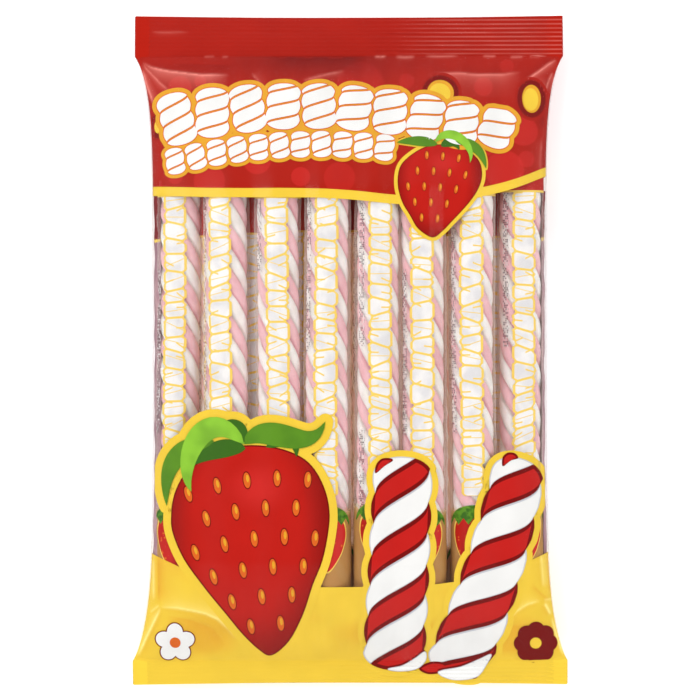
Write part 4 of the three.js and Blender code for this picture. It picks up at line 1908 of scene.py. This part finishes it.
def lay_twists(name, count, lay, width, thickness, sides, rings, painted_glow):
    """A layer of twists, copies of one model, each turned, pressed and laid along its own line."""
    sizes = bpy.context.scene.pack_twists
    inside = twist_model(name + "_model", sides, rings, painted_glow)
    twists = []
    for number in range(count):
        select(inside)
        bpy.ops.object.duplicate()
        copy = bpy.context.object
        x, y, z = places_of(copy).T
        cosine, sine = math.cos(TURN_STEP * number), math.sin(TURN_STEP * number)
        across, up = x * cosine + z * sine, z * cosine - x * sine
        y = y + TWIST_MIDDLE
        x_line, z_line = lay(number, y)
        fatness = 1 + 0.012 * np.sin(y / (23 * MM) + number)
        x = x_line + across * width / sizes.width * fatness
        z = z_line + up * thickness / sizes.width * fatness
        move_to(copy, np.stack([x, y, z], axis=-1))
        twists.append(copy)
    bpy.data.objects.remove(inside)
    layer = join(twists, name)
    in_edit_mode(layer, face_outwards)
    finish_piece(layer, 60)


class PACK_OT_twists(Step, bpy.types.Operator):
    """Adds the three layers of marshmallow twists"""

    bl_idname = "marshmallow_pack.twists"
    bl_label = "Twists"

    def execute(self, context):
        sizes = context.scene.pack_twists
        shown = (sizes.width, sizes.thickness, *SHOWN_TWIST)
        hidden = (sizes.hidden_width, sizes.hidden_thickness, *HIDDEN_TWIST)
        lay_twists("front_twists", len(FRONT_ROW), lay_front, *shown)
        lay_twists("middle_twists", len(MIDDLE_ROW), lay_middle, *hidden)
        lay_twists("back_twists", len(BACK_ROW), lay_back, *hidden)
        return {"FINISHED"}


# ---- Wrappers ----

WRAPPER_LOW_END = -114 * MM
WRAPPER_HIGH_END = 100 * MM
WRAPPER_UV_SIZE = 0.25  # a wrapper's print is mapped at one unit for this length
WRAPPER_STEP = 1.0  # along the map, from the middle of one wrapper to that of the next
WRAPPER_SEEDS = 91  # more than the random things of a kind along one wrapper
FLAT_END = 0.35 * MM  # half the thickness of a wrapper's ends
HUG_DEPTH = 0.22 * MM  # how far film that clings dips between two strands
BEADS_FROM = -60 * MM
BERRY_AT = -79 * MM
TAN_BELOW = -64 * MM
RED_ABOVE = 64 * MM
WRAPPER_REFLECTANCE = 0.06
DASH_COLUMN = 0.62 * MM
DASH_ROW = 0.8 * MM
DASH_STRETCH = 34 * MM  # of a wrapper that has dashes all along it or none
DASH_GREY = srgb(104, 88, 94)
COLUMN_STEP = 613  # more than the dashes of one column

# How far each front wrapper's printed row lies right of its middle.
PRINT_ASIDE = [a * MM for a in (1.9, 2.6, 0.4, 0.5, -0.9, 0.4, 0.4, -1.4)]


def lay_wrapper(name, number, lay, width_share, shift, clings, columns, rows):
    """Rolls one sheet round one twist. Its print is shifted along it, and it may cling to the strands."""
    sizes = bpy.context.scene.pack_wrappers
    lead = bpy.context.scene.pack_twists.lead
    sheet, flat = new_sheet(name, columns, rows)
    turn = flat[:, 0] * math.pi
    y = spread(flat[:, 1], WRAPPER_LOW_END, WRAPPER_HIGH_END)
    full = smooth_step(y, WRAPPER_LOW_END + 6 * MM, TWIST_LOW_END + 2 * MM)
    full = full * (1 - smooth_step(y, TWIST_HIGH_END - 2 * MM, WRAPPER_HIGH_END - 6 * MM))
    across = squared_off(np.sin(turn), 2 / WRAPPER_FULLNESS)
    up = squared_off(np.cos(turn), 2 / WRAPPER_FULLNESS)
    half = sizes.half_width * width_share
    rise = FLAT_END + (sizes.half_height * width_share - FLAT_END) * full
    helix = STRANDS * (turn - TURN_STEP * number + 2 * np.pi * (y - TWIST_MIDDLE) / lead)
    hugging = clings * HUG_DEPTH * np.abs(np.sin(helix / 2)) ** 0.7 * full
    crumple = 0.1 * MM * np.sin(3 * turn + y / (9 * MM) + number) * np.sin(y / (17 * MM) + 2 * number)
    crumple = crumple + 0.06 * MM * np.sin(7 * turn - y / (4.1 * MM) + 3 * number)
    x_line, z_line = lay(number, y)
    outwards = hugging + crumple * full - clings * HUG_DEPTH
    x = x_line + across * (half + 0.3 * MM * (1 - full)) + np.sin(turn) * outwards
    z = z_line + up * rise + np.cos(turn) * outwards
    move_to(sheet, np.stack([x, y, z], axis=-1))

    layer = sheet.data.uv_layers[0]
    layer.name = "wrapper"
    half_round = math.pi * math.sqrt((half**2 + sizes.half_height**2) / 2)
    round_it = turn / math.pi * half_round + PRINT_ASIDE[number % len(PRINT_ASIDE)]
    along_it = y + shift + number * WRAPPER_STEP
    for loop in sheet.data.loops:
        place = (round_it[loop.vertex_index], along_it[loop.vertex_index])
        layer.data[loop.index].uv = np.divide(place, WRAPPER_UV_SIZE)
    in_edit_mode(sheet, merge_doubles, fill_holes, face_outwards)
    return sheet


class PACK_OT_wrappers(Step, bpy.types.Operator):
    """Adds a clear printed wrapper round every twist"""

    bl_idname = "marshmallow_pack.wrappers"
    bl_label = "Wrappers"

    def execute(self, context):
        shown = wrapper_material("front_wrapper", 0.5, (0.85, 0.76, 0.7))
        hidden = wrapper_material("hidden_wrapper", 0.7, (0.7, 0.53, 0.38))
        # Name, count, line, material, share of the full width, shift of the print, columns and rows.
        layers = (
            ("front_wrappers", len(FRONT_ROW), lay_front, shown, 1.0, 0, 48, 150),
            ("middle_wrappers", len(MIDDLE_ROW), lay_middle, hidden, 0.9, 16 * MM, 28, 60),
            ("back_wrappers", len(BACK_ROW), lay_back, hidden, 0.9, 16 * MM, 28, 60),
        )
        scatter = random.Random(5)
        for name, count, lay, material, share, offset, columns, rows in layers:
            sheets = []
            for number in range(count):
                shift = scatter.uniform(-1.6, 1.6) * MM + offset
                clings = scatter.choice((0.0, 0.6, 1.0))
                sheets.append(lay_wrapper(name, number, lay, share, shift, clings, columns, rows))
            finish_piece(join(sheets, name), 50, material)
        return {"FINISHED"}


FLANK_LOW_END = -100 * MM
FLANK_HIGH_END = 66 * MM
# Name, the way round of the pack's side, and the first and last way round that the flank covers.
FLANKS = (("right_flanks", 1, 0.93, 1.3), ("left_flanks", 3, 2.7, 3.1))


class PACK_OT_flanks(Step, bpy.types.Operator):
    """Adds folded wrapper film along both sides, between the outermost twists and the pack's film"""

    bl_idname = "marshmallow_pack.flanks"
    bl_label = "Wrapper Flanks"

    def execute(self, context):
        for name, side, first, last in FLANKS:
            sheet, flat = new_sheet(name, 16, 150)
            way = spread(flat[:, 0], first, last)
            y = spread(flat[:, 1], FLANK_LOW_END, FLANK_HIGH_END)
            rough = np.sin(y / (4.3 * MM) + 9 * way) * np.sin(y / (11 * MM) + 2)
            rough = rough + 0.5 * np.sin(y / (2.1 * MM) - 14 * way)
            inwards = np.abs(way - side) ** 2 * 26 * MM
            move_to(sheet, under_film(way, y, (0.8 + 0.2 * rough) * MM + inwards))
            finish_piece(sheet, 60, flank_material())
        return {"FINISHED"}


# ---- Stage ----

# Name, place, size, share of the key light's power, and whether the film mirrors it.
LIGHTS = (
    ("key_light", (-0.85, 0.45, 1.1), (0.9, 1.2), 1, False),
    ("right_light", (0.95, -0.1, 1.0), (0.6, 1.2), 0.6, False),
    ("top_light", (0.0, 1.1, 0.8), (1.4, 0.4), 0.3, False),
    ("bottom_light", (0.0, -1.2, 0.8), (1.4, 0.4), 0.5, False),
    ("left_strip", (-0.8, 0.1, 0.7), (0.1, 1.2), 0.035, True),
    ("right_strip", (0.85, 0.1, 0.62), (0.06, 1.0), 0.013, True),
)
DIMMED_OVERHEAD = 0.3  # share of its brightness that the sky keeps straight above
DIMMED_IN_GLOSS = 0.07  # share of it that glossy film mirrors


def area_light(name, place, size, power, mirrored):
    """A soft rectangular light that points at the pack. Glossy film mirrors it only if it should."""
    light = bpy.data.lights.new(name, "AREA")
    light.shape = "RECTANGLE"
    light.size, light.size_y = size
    light.energy = power
    lamp = bpy.data.objects.new(name, light)
    bpy.context.scene.collection.objects.link(lamp)
    lamp.location = place
    lamp.rotation_euler = lamp.location.to_track_quat("Z", "Y").to_euler()
    lamp.visible_camera = False
    lamp.visible_glossy = mirrored


def surroundings(strength):
    """A plain sky, dimmer straight above, and much dimmer where glossy film mirrors it."""
    recipe = Recipe("surroundings", "worlds")
    _, _, up = recipe.parts(recipe.node("TexCoord").outputs["Generated"])
    overhead = recipe.rise(up, 0.55, 0.97) * (DIMMED_OVERHEAD - 1) + 1
    in_gloss = Number(recipe, recipe.node("LightPath").outputs["Is Glossy Ray"]) * (DIMMED_IN_GLOSS - 1) + 1
    sky = recipe.node("Background", Strength=overhead * strength * in_gloss)
    return recipe.finish(sky.outputs[0])


class PACK_OT_stage(Step, bpy.types.Operator):
    """Adds a white floor, soft lights and a camera that looks straight down"""

    bl_idname = "marshmallow_pack.stage"
    bl_label = "Stage"

    def execute(self, context):
        scene = context.scene
        stage = scene.pack_stage
        deselect()
        bpy.ops.mesh.primitive_plane_add(size=12)
        floor = context.object
        floor.name = "floor"
        recipe = Recipe("floor_white")
        grey, white = (0.93, 0.93, 0.93), (1, 1, 1)
        paper = recipe.surface(Base_Color=grey, Roughness=0.9, Emission_Color=white, Emission_Strength=0.3)
        set_material(floor, recipe.finish(paper))
        floor.visible_glossy = False

        scene.world = surroundings(stage.world_strength)
        for name, place, size, share, mirrored in LIGHTS:
            area_light(name, place, size, stage.key_power * share, mirrored)

        camera = bpy.data.objects.new("camera", bpy.data.cameras.new("camera"))
        scene.collection.objects.link(camera)
        camera.location = (0.2 * MM, 0, SEAL_HEIGHT + stage.camera_height)
        camera.rotation_euler = (0, 0, -0.002)
        camera.data.lens = camera.data.sensor_width * stage.camera_height / stage.view_width
        camera.data.clip_end = 100
        scene.camera = camera
        scene.view_settings.view_transform = "Standard"
        scene.cycles.transparent_max_bounces = 48
        return {"FINISHED"}


# ---- Panel and registration ----

STEPS = (
    PACK_OT_stage,
    PACK_OT_film,
    PACK_OT_back_seam,
    PACK_OT_fields,
    PACK_OT_white_shapes,
    PACK_OT_dots,
    PACK_OT_fruit,
    PACK_OT_drawn_twists,
    PACK_OT_badges,
    PACK_OT_twists,
    PACK_OT_wrappers,
    PACK_OT_flanks,
)
SETTINGS = (
    ("pack_film", FilmSettings),
    ("pack_print", PrintSettings),
    ("pack_twists", TwistSettings),
    ("pack_wrappers", WrapperSettings),
    ("pack_stage", StageSettings),
)


class PACK_PT_panel(bpy.types.Panel):
    """Lists the steps that build the pack, and its settings"""

    bl_idname = "PACK_PT_marshmallow_pack"
    bl_label = "Marshmallow Twist Pack"
    bl_space_type = "VIEW_3D"
    bl_region_type = "UI"
    bl_category = "Sweets"

    def draw(self, context):
        for step in STEPS:
            self.layout.operator(step.bl_idname)
        for name, group in SETTINGS:
            box = self.layout.box()
            for prop in group.__annotations__:
                box.prop(getattr(context.scene, name), prop)


def register():
    """Adds the settings, the operators and the panel to Blender."""
    for name, group in SETTINGS:
        bpy.utils.register_class(group)
        setattr(bpy.types.Scene, name, PointerProperty(type=group))
    for step in (*STEPS, PACK_PT_panel):
        bpy.utils.register_class(step)


def unregister():
    """Takes them away again."""
    for step in reversed((*STEPS, PACK_PT_panel)):
        bpy.utils.unregister_class(step)
    for name, group in reversed(SETTINGS):
        delattr(bpy.types.Scene, name)
        bpy.utils.unregister_class(group)


def main():
    """Builds the pack."""
    register()
    for step in STEPS:
        group, name = step.bl_idname.split(".")
        getattr(getattr(bpy.ops, group), name)()


if __name__ == "__main__":
    main()
